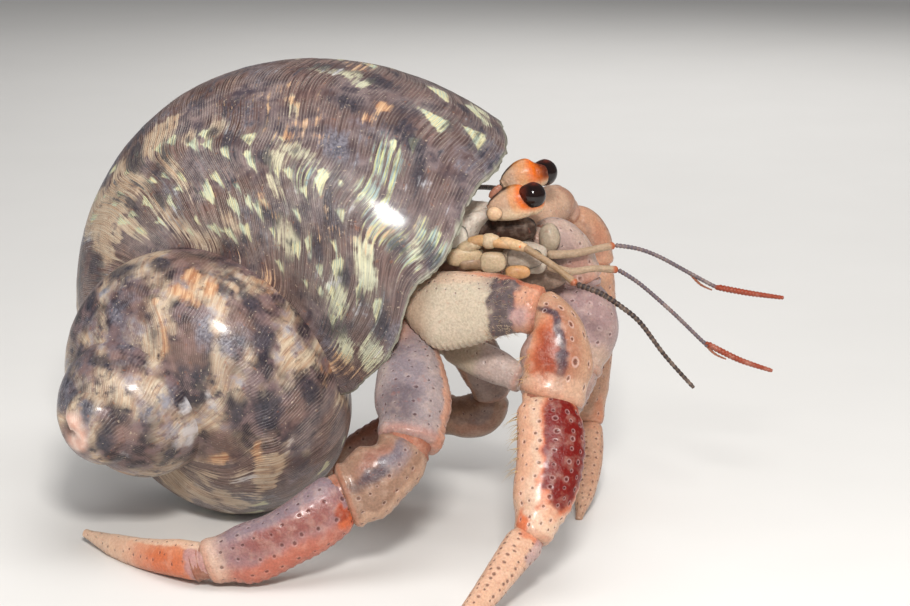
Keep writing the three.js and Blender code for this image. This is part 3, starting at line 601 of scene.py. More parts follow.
# Marks that stand out on the near side, their places judged: turns back from the lip,
# degrees round the section, length along the growth and width across it in mm.
MARKS = {
    "tent": [
        (0.045, -3, 5.2, 3.0), (0.022, -10, 4.0, 3.4), (0.09, 44, 1.8, 3.2), (0.15, 47, 1.6, 1.8),
        (0.17, 48, 2.0, 1.8), (0.205, 63, 1.6, 2.2), (0.185, 66, 1.8, 2.0), (0.165, 63, 1.4, 2.0),
        (0.155, 64, 1.5, 2.2), (0.105, 64, 1.4, 2.4), (0.075, 63, 2.4, 3.2), (0.05, 62, 1.2, 2.8),
        (0.03, 60, 2.4, 2.6), (0.045, 12, 1.4, 2.4), (0.055, 17, 1.4, 1.8), (0.115, 47, 1.6, 1.6),
    ],
    "cream": [
        (0.115, 39, 5, 1.6), (0.125, 45, 3, 2.4), (0.125, 67, 4.2, 3.4), (0.19, 73, 2.6, 2.6),
        (0.045, 55, 4.2, 5), (0.065, 70, 3.6, 3.8), (0.23, 53, 3, 7.5), (0.24, 43, 3.2, 3.6),
        (0.27, 56, 2.4, 5.5), (0.315, 58, 3, 6), (0.27, 71, 2.6, 5), (0.245, 83, 5, 2.2),
        (0.11, -3, 5, 1.4), (0.095, -5, 3, 1.6), (0.09, -1, 1.6, 2), (0.125, 23, 1.4, 2.4),
        (0.12, -1, 3, 1.2), (0.18, 39, 2.4, 2.8), (0.2, 42, 2.6, 2), (0.13, 54, 2, 2.2),
        (0.32, 72, 3, 4), (0.26, 79, 3, 2.4), (0.015, 39, 3, 2.2), (0.04, 78, 4, 2.4), (0.015, 70, 4, 4),
        (1.13, 53, 3.6, 3), (1.19, 74, 3.4, 2.4), (0.98, -6, 1.6, 2.6), (0.955, 2, 3.2, 1.4),
        (0.955, 16, 3.4, 1.2), (0.975, 46, 3, 2.2), (1.005, 49, 2.4, 2), (0.99, 33, 1.6, 1.6),
        (2.07, 52, 3.2, 2.6), (2.14, 74, 2, 1.6), (2.03, 55, 2.6, 1.2), (1.335, 77, 2.4, 3),
        (1.17, 77, 2, 3), (2.25, 45, 1.2, 3), (3.0, 48, 1.2, 1.4), (1.905, 38, 3, 1.4),
        (0.845, 72, 2, 2), (0.84, 54, 3, 1.2),
    ],
    "lime": [
        (0.045, 41, 4.2, 4.6), (0.035, 40, 4, 4), (0.02, 42, 3.6, 2.6), (0.01, 33, 5, 2.4),
        (0.055, 24, 4, 5), (0.06, 37, 3, 3), (0.1, 46, 3, 3),
    ],
    "dark": [
        (0.035, -5, 1.6, 2.6), (0.02, -11, 1.6, 1.6), (0.05, 8, 2, 1.6), (0.145, 63, 3, 2.6),
        (0.115, 62, 1.8, 1.8), (0.095, 62, 2.2, 3), (0.065, 63, 2.2, 2), (0.045, 63, 1.8, 1.6),
        (0.02, 61, 3, 4), (0.135, 46, 2.6, 1.8), (0.16, 48, 1.6, 1.8), (0.18, 40, 1.6, 1.8),
        (0.26, 42, 4, 6), (0.265, 65, 1.6, 3), (0.3, 64, 2, 5), (0.025, 42, 3, 2.4), (0.005, 36, 4.5, 2.4),
        (0.035, 20, 2, 5), (0.085, -7, 6, 2.6), (0.09, 12, 6, 2.2), (0.055, 11, 5, 1.8),
        (0.165, 43, 5, 2), (0.045, 12, 4, 2.6),
        (1.21, 20, 5, 4), (1.27, 41, 3, 4), (1.145, 13, 3.4, 3), (0.985, 16, 4, 3.4), (2.15, 29, 3.6, 2.4),
        (3.075, 34, 2.2, 2), (2.9, 39, 2.4, 2.2), (1.835, 27, 4.4, 2.2), (0.92, 36, 5, 4),
        (0.905, 5, 4, 3), (0.95, 57, 3, 2), (1.055, 12, 4, 2), (1.02, 5, 4, 2.4), (1.05, -1, 5, 2),
    ],
    "orange": [
        (0.075, 14, 1.6, 1.2), (0.125, 35, 2.2, 2), (0.145, 61, 1.8, 1.4), (0.07, 6, 2.4, 1.6),
        (0.125, 21, 1.4, 1.2), (1.095, 17, 3, 2.6), (1.1, 32, 3.6, 1.6), (1.07, 16, 2, 2.6),
        (1.135, 62, 0.8, 4), (0.875, 47, 3.4, 1.2), (0.895, 67, 2, 1.2), (1.71, 57, 4, 1.4),
        (0.89, 73, 1.6, 1.8),
    ],
    "grey": [
        (1.055, 43, 3.6, 4), (1.96, 14, 3.4, 4), (1.975, 38, 3, 3), (1.02, 42, 3, 3), (1.23, 66, 3, 3),
        (0.35, 52, 5, 8), (0.3, 30, 8, 6), (0.06, 84, 4, 2), (0.09, 30, 6, 4),
    ],
    "worn": [
        (1.86, -5, 1.8, 3.6), (1.84, 1, 1, 2), (1.02, 71, 1, 1), (0.835, 52, 1.6, 1.6),
        (1.915, -10, 1.6, 1.6),
    ],
}
# Rows of further tents, in degrees: small ones among the listed marks, and larger ones beyond them.
SEEN_ROWS = (40, 49, 58, 67, 77)
UNSEEN_ROWS = (30, 12, -4, -22, -42, -64, -90, -118)


def near_marks(marks, age, degrees, tents=False):
    """How far inside the nearest mark each point is, in mm; below 0 outside them all."""
    best = np.full(len(age), FAR_OUTSIDE)
    for back, middle, length, width in marks:
        size = SHELL["mouth_radius"] * SHELL["growth"] ** -back
        x = (age + back) * TURN * (SHELL["axis_offset"] + math.cos(math.radians(middle))) * size
        y = np.radians(degrees - middle) * size
        near = (np.abs(age + back) < 0.3) & (np.abs(x) < 3 * length) & (np.abs(y) < 3 * width)
        x, y = x[near], y[near]
        if tents:  # a tent's point is behind, its broad end toward the lip
            inside = np.minimum(length / 2 - x, width * (x + length / 2) / length / 1.7 - np.abs(y))
        else:
            inside = (1 - np.hypot(x / length * 2, y / width * 2)) * min(length, width) / 2
        best[near] = np.maximum(best[near], inside)
    return best


def tent_rows():
    """The tents of the rows, as marks."""
    tents = []
    for row in UNSEEN_ROWS:
        back = rng.uniform(0.01, 0.05)
        while back < 0.8:
            wide = rng.uniform(1.4, 3.2)
            if row < -14 or back > 0.3:
                tents.append((back, row + rng.normal(0, 3), wide * rng.uniform(0.8, 1.5), wide))
            back += rng.uniform(0.02, 0.07)
    for row in SEEN_ROWS:
        back = rng.uniform(0.06, 0.09)
        while back < 0.34:
            wide = rng.uniform(0.9, 2.0)
            tents.append((back, row + rng.normal(0, 2), wide * rng.uniform(0.8, 1.4), wide))
            back += rng.uniform(0.014, 0.04)
    return tents


def shell_fields(turn, degrees, points):
    """What the shell's material needs to know at each point."""
    age = turn - lip_turn(degrees)
    size = SHELL["growth"] ** age
    pace = TURN * (1 + SHELL["axis_offset"]) * SHELL["mouth_radius"] / math.log(SHELL["growth"])
    spire = smooth(-0.86, -0.9, age)
    seen = {kind: near_marks(marks, age, degrees, kind == "tent") for kind, marks in MARKS.items()}
    far = smooth(-0.2, -0.36, age) + smooth(4, -20, degrees) + smooth(100, 120, degrees)
    tents = tent_rows()
    more = near_marks(tents, age, degrees, True)
    shadows = [(back - 0.018, row, 0.8 * long, 1.2 * wide) for back, row, long, wide in tents]
    ahead = near_marks(shadows, age, degrees, True)
    clouds = 2.6 * noise(points, 7, 11) + 1.5 * noise(points, 3, 12) + noise(points, 1.5, 13)
    veins = 1.0 - 5.5 * np.abs(noise(points, 8, 5)) + 1.2 * noise(points, 3.2, 6)
    clouded = (clouds - 1.9) - 3 * (1 - np.clip(far, 0, 1))
    cream = np.maximum(seen["cream"], np.where(spire > 0.5, veins - 0.15, clouded))
    left = smooth(-0.17, -0.24, age) * (1 - spire) * smooth(20, 36, degrees)
    cream = np.maximum(cream, clouds - 0.5 - 4 * (1 - left))
    dark = np.maximum(seen["dark"], np.maximum(ahead - 0.4, 1.8 * noise(points, 4.5, 14) - 1.25))
    orange = np.maximum(seen["orange"], 1.8 * noise(points, 6, 9) - 1.9)
    apex = np.linalg.norm(points - APEX, axis=1)
    return {
        "growth": pace * size,
        "around": np.radians(degrees) * SHELL["mouth_radius"] * np.sqrt(size),
        "spire": spire,
        "ribbed": 0.3 + 0.7 * smooth(-1.0, -0.8, age),
        "cream": cream,
        "tent": np.maximum(seen["tent"], more),
        "lime": seen["lime"],
        "dark": dark,
        "grey": np.maximum(seen["grey"], 2.4 * noise(points, 8, 21) - 1.5),
        "orange": orange,
        "worn": np.maximum(seen["worn"], 1.5 * noise(points, 3, 22) - 1.9),
        "green": smooth(-0.2, -0.08, age) * 0.9,
        "rim": smooth(-0.0022, -0.0008, age),
        "nub": smooth(5.0, 3.4, apex + 0.5 * noise(points, 2, 23)),
        "nacre": np.zeros(len(turn)),
    }


def shell_piece():
    skin = Skin()
    turns = np.concatenate([
        np.linspace(-SHELL["spire_turns"], -2, 110, endpoint=False),
        np.linspace(-2, -1, 170, endpoint=False),
        np.linspace(-1, 0, 380),
    ])
    degrees = -180 + 360 * (np.arange(SIDES) + 0.5) / SIDES
    turn, deg = (g.copy() for g in np.meshgrid(turns, degrees, indexing="ij"))
    # the last stretch leans over until its end is the chipped lip
    round_lip = np.c_[degrees, degrees, degrees]
    chips = 0.0016 * noise(round_lip, 7, 40) + 0.0012 * noise(round_lip, 2.4, 41)
    turn += smooth(-0.6, 0, turns)[:, None] * (lip_turn(deg) + chips)
    rows = len(turns)
    turn, deg = turn.ravel(), deg.ravel()
    age = turn - lip_turn(deg)
    size = SHELL["growth"] ** turn
    still = shell_points(turn, deg, 1.0)
    relief = 0.006 * noise(still, 12, 1) + 0.0035 * noise(still, 4, 2)
    relief += 0.05 * noise(still, 1.5, 3) / (23 * size) * 0.6
    lines = noise(np.c_[TURN * 100 * SHELL["growth"] ** age, deg / 14, 0 * deg], 2.2, 4)
    relief += 0.0022 * lines
    relief += 0.014 * smooth(-0.892, -0.886, age) * smooth(-0.80, -0.886, age)  # an old lip's edge
    tip = np.clip((turn + SHELL["spire_turns"]) / 0.24, 0.01, 1)  # the worn point is a low dome
    outer = shell_points(turn, deg, (1 + relief + suture_fill(turn, deg)) * np.sqrt(tip * (2 - tip)))
    inner_turns = np.linspace(0, -SHELL["cavity_turns"], 60)
    turn2, deg2 = (g.copy() for g in np.meshgrid(inner_turns, degrees, indexing="ij"))
    turn2 += smooth(-0.4, 0, inner_turns)[:, None] * (lip_turn(deg2) + chips)
    turn2, deg2 = turn2.ravel(), deg2.ravel()
    thin = 1 + 0.75 * SHELL["wall"] * np.repeat(smooth(-0.05, 0, inner_turns), SIDES)  # toward the lip
    inner = shell_points(turn2, deg2, np.tile(cavity_reach(degrees), len(inner_turns)) * thin)
    points = np.concatenate([outer, inner])
    fields = shell_fields(turn, deg, outer)
    inside = {"nacre": 1.0} | {kind: FAR_OUTSIDE for kind in MARKS}  # and 0 for the rest
    merged = {key: np.concatenate([outside, np.full(len(inner), inside.get(key, 0.0))])
              for key, outside in fields.items()}
    skin.tube(points, rows + len(inner_turns), SIDES, **merged)
    return skin.piece("shell_skin", MATERIALS["shell"], "shell", ["shell"])


# ------------------------------------------------------------------ limbs
def segment(spec, face, steps, sides, run=0.9, collar=0.78, tip=False, cap=0.6):
    """A limb segment: rings from inside the one before it to a rounded end. Returns its points,
    where each is along it (0 to 1) and round it (cosine and sine), and the number of rings."""
    start, bend, end = (np.array(p, float) for p in spec[:3])
    length = np.linalg.norm(end - bend) + np.linalg.norm(bend - start)
    t = np.linspace(0, 1, steps)
    far = 1 + cap * (0.56 if tip else 1) * np.array([0.27, 0.57, 0.8, 0.93, 1.0]) / length
    t_all = np.concatenate([[-run / length, -0.5 * run / length], t, far])
    scale = collar + (1 - collar) * smooth(-0.02, 0.08, t_all)
    if not tip:
        scale = scale * (1 + 0.05 * bump(t_all, 0.965, 0.03) - 0.035 * bump(t_all, 0.87, 0.05))
    scale[-5:] = [0.95, 0.86, 0.68, 0.42, 0.12]
    tc = np.clip(t_all, 0, 1)[:, None]
    centre = start * (1 - tc) ** 2 + 2 * bend * tc * (1 - tc) + end * tc**2
    along = unit(2 * (bend - start) * (1 - tc) + 2 * (end - bend) * tc)
    centre = centre + along * (np.minimum(t_all, 0) + np.maximum(t_all - 1, 0))[:, None] * length
    side = unit(np.cross(along, face))
    out = unit(np.cross(side, along))
    plus, minus, thick = (between(w, tc[:, 0]) * scale for w in spec[3:])
    angle = TURN * np.arange(sides) / sides
    c, s = np.cos(angle), np.sin(angle)
    across = np.sign(c) * np.abs(c) ** 0.88 * np.where(c > 0, plus[:, None], minus[:, None])
    depth = np.sign(s) * np.abs(s) ** 0.88 * thick[:, None]
    points = centre[:, None] + across[..., None] * side[:, None] + depth[..., None] * out[:, None]
    rows = len(t_all)
    return points.reshape(-1, 3), np.repeat(t_all, sides), np.tile(c, rows), np.tile(s, rows), rows


def reach_of(spec):
    """From a segment's start straight to its end."""
    return np.linalg.norm(np.subtract(spec[2], spec[0]))


def scattered(t, c, s, spec, seed, spacing, radius, low=-1.1, high=1.1):
    """Pits in loose rows: each point's distance to the nearest in pit radii, and the points
    nearest to the pits' middles. low and high limit them across the broad side."""
    half = (np.mean(spec[3]) + np.mean(spec[4])) / 2
    length = reach_of(spec) * 1.04
    rows_of = max(5, round(TURN * half * 0.8 / spacing))
    local = np.random.default_rng(seed)
    x, y = t * length, (np.arctan2(s, c) % TURN) * half
    best, roots = np.full(len(t), 9.0), []
    for row in range(rows_of):
        angle = TURN * (row + 0.5) / rows_of
        place = local.uniform(0.3, spacing)
        while place < 0.97 * length:
            turned = angle * half + local.normal(0, 0.16 * spacing)
            if low < math.cos(turned / half) < high:
                dy = np.abs(y - turned)
                away = np.hypot((x - place) * 0.9, np.minimum(dy, TURN * half - dy))
                away = away / (radius * local.uniform(0.75, 1.25))
                best = np.minimum(best, away)
                roots.append(int(np.argmin(away)))
            place += spacing * local.uniform(0.7, 1.5)
    return best, roots


def wash(colours, t, side, marks):
    """Paints soft-edged patches: each a colour, middle and half size along, middle and half size
    across, strength and (if given) how wide its edge is."""
    for colour, at, span, across, width, strength, *edge in marks:
        blur = edge[0] if edge else 0.3
        away = (np.abs((t - at) / span) ** 3 + np.abs((side - across) / width) ** 3) ** (1 / 3)
        amount = strength * smooth(1 + blur, 1 - blur, away)
        colours = toward(colours, tone(colour), amount[:, None])
    return colours


CREAM = (210, 172, 146)
SAND = (196, 158, 132)
BROWN = (150, 92, 70)
PEACH = (216, 152, 118)
PALE = (198, 182, 160)
PURPLE = (72, 57, 66)
DARK = (64, 44, 56)
ORANGE = (206, 98, 48)
RED = (114, 18, 12)
LILAC = (168, 142, 150)
SLATE = (128, 116, 124)
BRICK = (140, 78, 70)
TIP = (226, 192, 164)
ANY = (0, 2)  # an across span that covers both sides
# For each part: its base colour; patches as wash() takes them, across running from -1 to 1 over
# the broad side; pits (spacing and radius in mm, how pale their rings are, across from and to);
# and teeth (which edge, height and pitch in mm, along from and to).
LEG_PAINT = {
    "leg2": {
        "merus": (PALE, [
            # the sand patch at the merus's base is painted shadow of the shell's lip
            (CREAM, 0.3, 0.4, -0.9, 0.3, 0.5), (SAND, 0.02, 0.2, *ANY, 0.6, 0.6),
            (PURPLE, 0.79, 0.1, *ANY, 0.9, 0.2), (PURPLE, 0.72, 0.11, -0.75, 0.35, 0.5, 0.6),
            (ORANGE, 0.97, 0.09, *ANY, 0.5, 0.2), (LILAC, 0.94, 0.08, 0.35, 0.4, 0.6, 0.5),
            (ORANGE, 0.85, 0.4, -1.0, 0.12, 0.5),
        ], (1.1, 0.12, 0.3, -1.1, -0.2), (1, 0.22, 0.85, 0.1, 0.72)),
        "carpus": ((186, 142, 114), [
            (ORANGE, 0.62, 0.36, 0.26, 0.5, 0.8, 0.6), (RED, 0.66, 0.26, 0.24, 0.34, 0.7, 0.6),
            (BROWN, 0.5, 0.4, -0.32, 0.3, 0.6, 0.5), (DARK, 0.45, 0.5, -0.1, 0.13, 0.95, 0.5),
            (SLATE, 0.62, 0.3, 0.96, 0.1, 0.5), (CREAM, 0.97, 0.1, *ANY, 0.6),
        ], (1.7, 0.22, 0.6, -1.1, 0.0), None),
        "propodus": (CREAM, [
            (PEACH, 0.3, 0.5, 0.8, 0.3, 0.5), (ORANGE, 0.42, 0.44, -0.44, 0.66, 0.9, 0.12),
            (RED, 0.4, 0.4, -0.45, 0.6, 1.0, 0.1), (ORANGE, 0.93, 0.07, 0.6, 0.3, 0.85),
            (TIP, 0.9, 0.1, -0.4, 0.5, 0.6),
        ], (1.4, 0.19, 0.45), (-1, 0.16, 1.3, 0.1, 0.95)),
        "dactyl": ((214, 170, 142), [
            (ORANGE, 0.05, 0.05, 0.1, 0.6, 0.6), (LILAC, 0.1, 0.12, -0.7, 0.4, 0.6),
            (TIP, 1, 0.25, *ANY, 0.8),
        ], (1.0, 0.19, 0.1), None),
    },
    "leg3": {
        "merus": ((158, 142, 140), [
            (PEACH, 0.1, 0.24, 0.5, 0.8, 0.8, 0.6), (SLATE, 0.55, 0.3, 0.1, 0.5, 0.7, 0.6),
            (PURPLE, 0.84, 0.13, 0.4, 0.5, 0.6, 0.5), (PEACH, 0.72, 0.32, -0.98, 0.2, 0.7),
        ], (1.3, 0.15, 0.2), (-1, 0.1, 0.9, 0.2, 0.95)),
        "carpus": ((150, 116, 96), [
            (BRICK, 0.5, 0.3, 0.45, 0.25, 0.5, 0.6), (PURPLE, 0.5, 0.46, 0.12, 0.16, 0.9, 0.6),
            (SLATE, 0.25, 0.22, 0.0, 0.3, 0.6, 0.6), (SAND, 0.6, 0.5, -0.95, 0.25, 0.8),
        ], (1.5, 0.16, 0.3, -1.1, 0.2), (-1, 0.12, 0.9, 0.3, 0.98)),
        "propodus": ((150, 118, 120), [
            (SLATE, 0.4, 0.5, 0.75, 0.3, 0.6), (BRICK, 0.42, 0.36, 0.02, 0.32, 0.9, 0.5),
            (ORANGE, 0.5, 0.5, -0.85, 0.42, 0.6, 0.6), (ORANGE, 0.06, 0.06, -0.5, 0.4, 0.8),
            (RED, 0.07, 0.06, -0.35, 0.2, 0.6), (TIP, 0.98, 0.1, *ANY, 0.6, 0.7),
        ], (1.7, 0.2, 0.2), (-1, 0.13, 1.1, 0.1, 0.95)),
        "dactyl": (PEACH, [
            (ORANGE, 0.36, 0.36, -0.2, 0.85, 0.8, 0.6), (LILAC, 0.03, 0.08, *ANY, 0.6),
            (TIP, 0.4, 0.5, 0.95, 0.25, 0.8), (TIP, 0.95, 0.4, *ANY, 0.9, 0.6),
        ], (1.5, 0.13, 0.1), None),
    },
    "claw": {
        "merus": (PALE, [(LILAC, 0.8, 0.3, *ANY, 0.5)], (1.6, 0.16, 0.3), None),
        "carpus": ((206, 182, 172), [
            (LILAC, 0.5, 0.5, -0.3, 0.8, 0.6), (ORANGE, 0.9, 0.2, 0, 0.6, 0.4),
        ], (1.5, 0.2, 0.4), None),
        "palm": ((190, 164, 168), [
            ((120, 88, 118), 0.4, 0.36, 0, 0.7, 0.55, 0.6), (TIP, 0.95, 0.2, *ANY, 0.6),
        ], (1.5, 0.22, 0.5), None),
        "finger": (CREAM, [
            (LILAC, 0.2, 0.3, *ANY, 0.7), (TIP, 1, 0.3, *ANY, 0.8),
        ], (1.2, 0.14, 0.3), (1, 0.12, 0.9, 0.1, 0.9)),
    },
}


class Coat:
    """Gathers the roots of a limb's bristles and makes them into one piece of tapered hairs."""

    def __init__(self, seed):
        self.roots, self.rng = [], np.random.default_rng(seed)

    def add(self, point, normal, along, place, colour, length, count=3):
        """One tuft: where it stands, which way its skin faces and runs, and its place on the unwrap."""
        self.roots.append((point, normal, along, place, colour, length, count))

    def piece(self, name, slot):
        points, faces, paint, places = [], [], [], []
        rings, sides = 4, 4
        level = np.linspace(0, 1, rings)
        for point, normal, along, place, colour, length, count in self.roots:
            for _ in range(count):
                lean = unit(normal + 0.45 * along + self.rng.normal(0, 0.28, 3))
                side = unit(np.cross(lean, normal + (0.01, 0.02, 0.03)))
                over = np.cross(side, lean)
                reach = length * self.rng.uniform(0.6, 1.15)
                root = point + side * self.rng.normal(0, HAIR_SPREAD) + over * self.rng.normal(0, HAIR_SPREAD)
                root = root - normal * HAIR_DEPTH
                spine = root + lean * (reach * level)[:, None] + along * (0.3 * reach * level**2)[:, None]
                angle = TURN * np.arange(sides) / sides
                round_it = np.cos(angle)[:, None] * side + np.sin(angle)[:, None] * over
                thick = (0.012 + 0.02 * min(1.5, length)) * (1.06 - level)
                first = len(points) * rings * sides
                points.append((spine[:, None] + thick[:, None, None] * round_it).reshape(-1, 3))
                faces.append(grid_faces(rings, sides) + first)
                paint.append(np.tile(colour, (rings * sides, 1)) * (1 - 0.25 * level.repeat(sides))[:, None])
                across = np.c_[np.cos(angle), np.sin(angle)]
                places.append(place + 0.0015 * (level.repeat(sides)[:, None] * np.tile(across, (rings, 1))))
        skin = Skin()
        skin.add(np.concatenate(points), np.concatenate(faces), paint=np.clip(np.concatenate(paint), 0, 1))
        return skin.piece(name, MATERIALS["hair"], slot, uv=np.concatenate(places))


def limb_part(skin, coat, name, part, spec, face, steps, sides, strip, tip=False):
    """One segment's painted, pitted and toothed skin. strip is its number on the bristles' unwrap."""
    points, t, c, s, rows = segment(spec, face, steps, sides, tip=tip)
    seed = sum(map(ord, name + part))
    normals = ring_normals(points, rows, sides)
    base, marks, (spacing, radius, ring, *span), teeth = LEG_PAINT[name.split("_")[0]][part]
    pit, roots = scattered(t, c, s, spec, seed, spacing, radius, *span)
    rise = 0.07 * noise(points, 2.6, seed) + 0.03 * noise(points, 0.9, seed + 1)
    rise = rise - 0.07 * smooth(1.2, 0.4, pit)
    if teeth:
        edge, height, pitch, begin, stop = teeth
        saw = 1 - np.abs((t * reach_of(spec) / pitch) % 1 * 2 - 1)
        tooth = height * (saw - 0.3) * smooth(0.8, 0.97, c * edge)
        rise = rise + tooth * smooth(begin - 0.06, begin, t) * smooth(stop + 0.04, stop, t)
    knobs = smooth(0.84, 0.9, t) * (part == "merus")  # the rough end over the joint
    rise = rise + 0.16 * knobs * np.maximum(0, noise(points, 0.55, seed + 5))
    points = points + normals * rise[:, None]
    ragged = 0.1 * noise(points, 1.6, seed + 2) + 0.05 * noise(points, 0.6, seed + 3)
    colours = np.tile(tone(base), (len(points), 1))
    colours = wash(colours, t + 0.4 * ragged, c + ragged, marks)
    # the left, far limbs are painted darker: painted shade
    colours = SHADE[name.split("_")[1]] * colours
    if name == "leg2_left":
        colours = toward(colours, 0.7 * tone(PEACH), WARMTH)
    inner = smooth(0.0, -0.5, s)[:, None]  # the sides turned to the body are plainer
    colours = toward(colours, tone(SAND), 0.25 * inner)
    joint = bump(t, 1.0, 0.03)[:, None] * (not tip)
    colours = np.clip(toward(colours, tone((176, 104, 74)), 0.4 * joint), 0, 1)
    spot = 0.25 * colours + 0.75 * tone((70, 30, 30))
    unwrap = np.c_[(strip + np.arctan2(s, c) / TURN % 1) / STRIPS, np.clip(t, 0, 1)]
    for root in roots:
        along = unit(points[min(root + sides, len(points) - 1)] - points[root - sides])
        coat.add(points[root], normals[root], along, unwrap[root], colours[root] * 0.4 + 0.12, 0.3)
    if name == "leg2_right" and part in FRINGES:
        middle, width, low, high, length, colour, amount = FRINGES[part]
        inside = np.flatnonzero((np.abs(c - middle) < width) & (t > low) & (t < high) & (s > -0.2))
        for root in coat.rng.choice(inside, amount):
            along = unit(points[root] - points[root - sides])
            coat.add(points[root], normals[root], along, unwrap[root], tone(colour), length, 2)
    skin.tube(points, rows, sides, paint=colours, pit=pit, spot=spot, ring=np.full(len(points), ring))


# Longer bristles of the near walking leg: across (middle, half width), along (from, to),
# length in mm, colour and how many tufts.
FRINGES = {
    "merus": (0.1, 0.95, 0.66, 0.86, 0.8, (226, 200, 170), 110),
    "carpus": (0.85, 0.12, 0.7, 0.98, 1.4, (206, 170, 120), 10),
    "propodus": (0.97, 0.06, 0.08, 0.6, 2.0, (206, 176, 126), 18),
    "dactyl": (0.0, 1.1, 0.1, 0.9, 0.4, (150, 96, 70), 30),
}


def membrane(skin, before, after, face, sides=24):
    """The soft collar between two segments."""
    middle = (np.array(before[2], float) + np.array(after[0], float)) / 2
    way = unit(np.array(after[1]) - np.array(before[1]))
    widths = [[0.8 * w[4]] * 5 for w in before[3:]]
    spec = [middle - way * 1.6, middle, middle + way * 1.6, *widths]
    points, t, *_, rows = segment(spec, face, 14, sides, run=0.3)
    points = raised(points, rows, sides, 0.08 * np.sin(t * 40))  # its folds
    skin.tube(points, rows, sides, **painted(points, (146, 92, 72)))


def painted(points, colour, pit=None, ring=0.3):
    """The fields of a plate of one colour, clouded by noise, with or without pits."""
    clouds = 1 + 0.12 * noise(points, 2.2, 60) + 0.06 * noise(points, 0.7, 61)
    paint = np.clip(tone(colour) * clouds[:, None], 0, 1)
    return {"paint": paint, "spot": paint * 0.5, "pit": np.full(len(points), 9.0) if pit is None else pit,
            "ring": np.full(len(points), ring)}


def limb(name, parts, face):
    skin, coat = Skin(), Coat(sum(map(ord, name)))
    near = name.endswith("right") and name.startswith("leg")
    step, sides = (NEAR_STEP, NEAR_SIDES) if near else (FAR_STEP, FAR_SIDES)
    names = list(parts)
    for index, part in enumerate(names):
        spec = parts[part]
        limb_part(skin, coat, name, part, spec, face, int(reach_of(spec) / step), sides, index,
                  tip=part == "dactyl")
        if index:
            membrane(skin, parts[names[index - 1]], spec, face)
    if name in FINGER_LENGTH:
        for index, finger in enumerate(fingers(name, parts["palm"], face)):
            limb_part(skin, coat, name, "finger", finger, face, 60, 48, 4 + index, tip=True)
    nodes = [f"{name}_{part}" for part in parts] + ([f"{name}_finger"] if name in FINGER_LENGTH else [])
    slot = "legs" if name.startswith("leg") else "claws"
    coat.piece(f"{name}_bristles", slot)
    return skin.piece(f"{name}_skin", MATERIALS["plate"], slot, nodes)


def fingers(name, palm, face):
    """The fixed and the moving finger, from the palm's far end to their tips."""
    end, along = np.array(palm[2]), unit(np.subtract(palm[2], palm[1]))
    side = unit(np.cross(along, face))
    half = palm[3][4]
    for way in (-0.52, 0.52):
        root = end + side * half * way - along * 0.4
        point = end + side * half * way * 0.35 + along * FINGER_LENGTH[name]
        bow = root + (point - root) * 0.55 + side * half * way * 0.35
        wide = np.array([0.46, 0.42, 0.36, 0.24, 0.1]) * half
        yield [root, bow, point, wide, wide, wide * 1.1]


# ------------------------------------------------------------------ head and body
def feeler_skin(skin, line, sides, colour, bead=0.0, tip_colour=None, tip_from=0.9, step=0.2, slim=1.0):
    """A round skin along a line (points, radii): plain, or made of beads of a given length."""
    points, radii = line
    p = np.array(points, float)
    rows = int(np.sum(np.linalg.norm(np.diff(p, axis=0), axis=1)) / step) + 8
    t = np.linspace(0, 1, rows)
    centre = between(p, t)
    along = unit(np.gradient(centre, axis=0))
    side = unit(np.cross(along, UP))
    out = np.cross(side, along)
    length = np.concatenate([[0], np.cumsum(np.linalg.norm(np.diff(centre, axis=0), axis=1))])
    radius = slim * between(radii, t)
    if bead:
        radius = radius * (0.82 + 0.26 * np.abs(np.sin(np.pi * length / bead)))
    ends = np.clip(np.minimum(length, length[-1] - length) / (0.8 * radius), 0.02, 1)
    radius = radius * np.sqrt(ends * (2 - ends))  # domed ends
    angle = TURN * np.arange(sides) / sides
    ring = np.cos(angle)[:, None] * side[:, None] + np.sin(angle)[:, None] * out[:, None]
    surface = (centre[:, None] + radius[:, None, None] * ring).reshape(-1, 3)
    colours = np.tile(tone(colour), (rows, 1))
    if bead:
        gap = bump(np.sin(np.pi * length / bead), 0, 0.45)[:, None]
        colours = toward(colours, tone((126, 104, 86)), 0.6 * gap)
    if tip_colour:
        colours = toward(colours, tone(tip_colour), smooth(tip_from - 0.05, tip_from, t)[:, None])
    colours = np.clip(np.repeat(colours, sides, axis=0), 0, 1)
    skin.tube(surface, rows, sides, **(painted(surface, (0, 0, 0)) | {"paint": colours}))


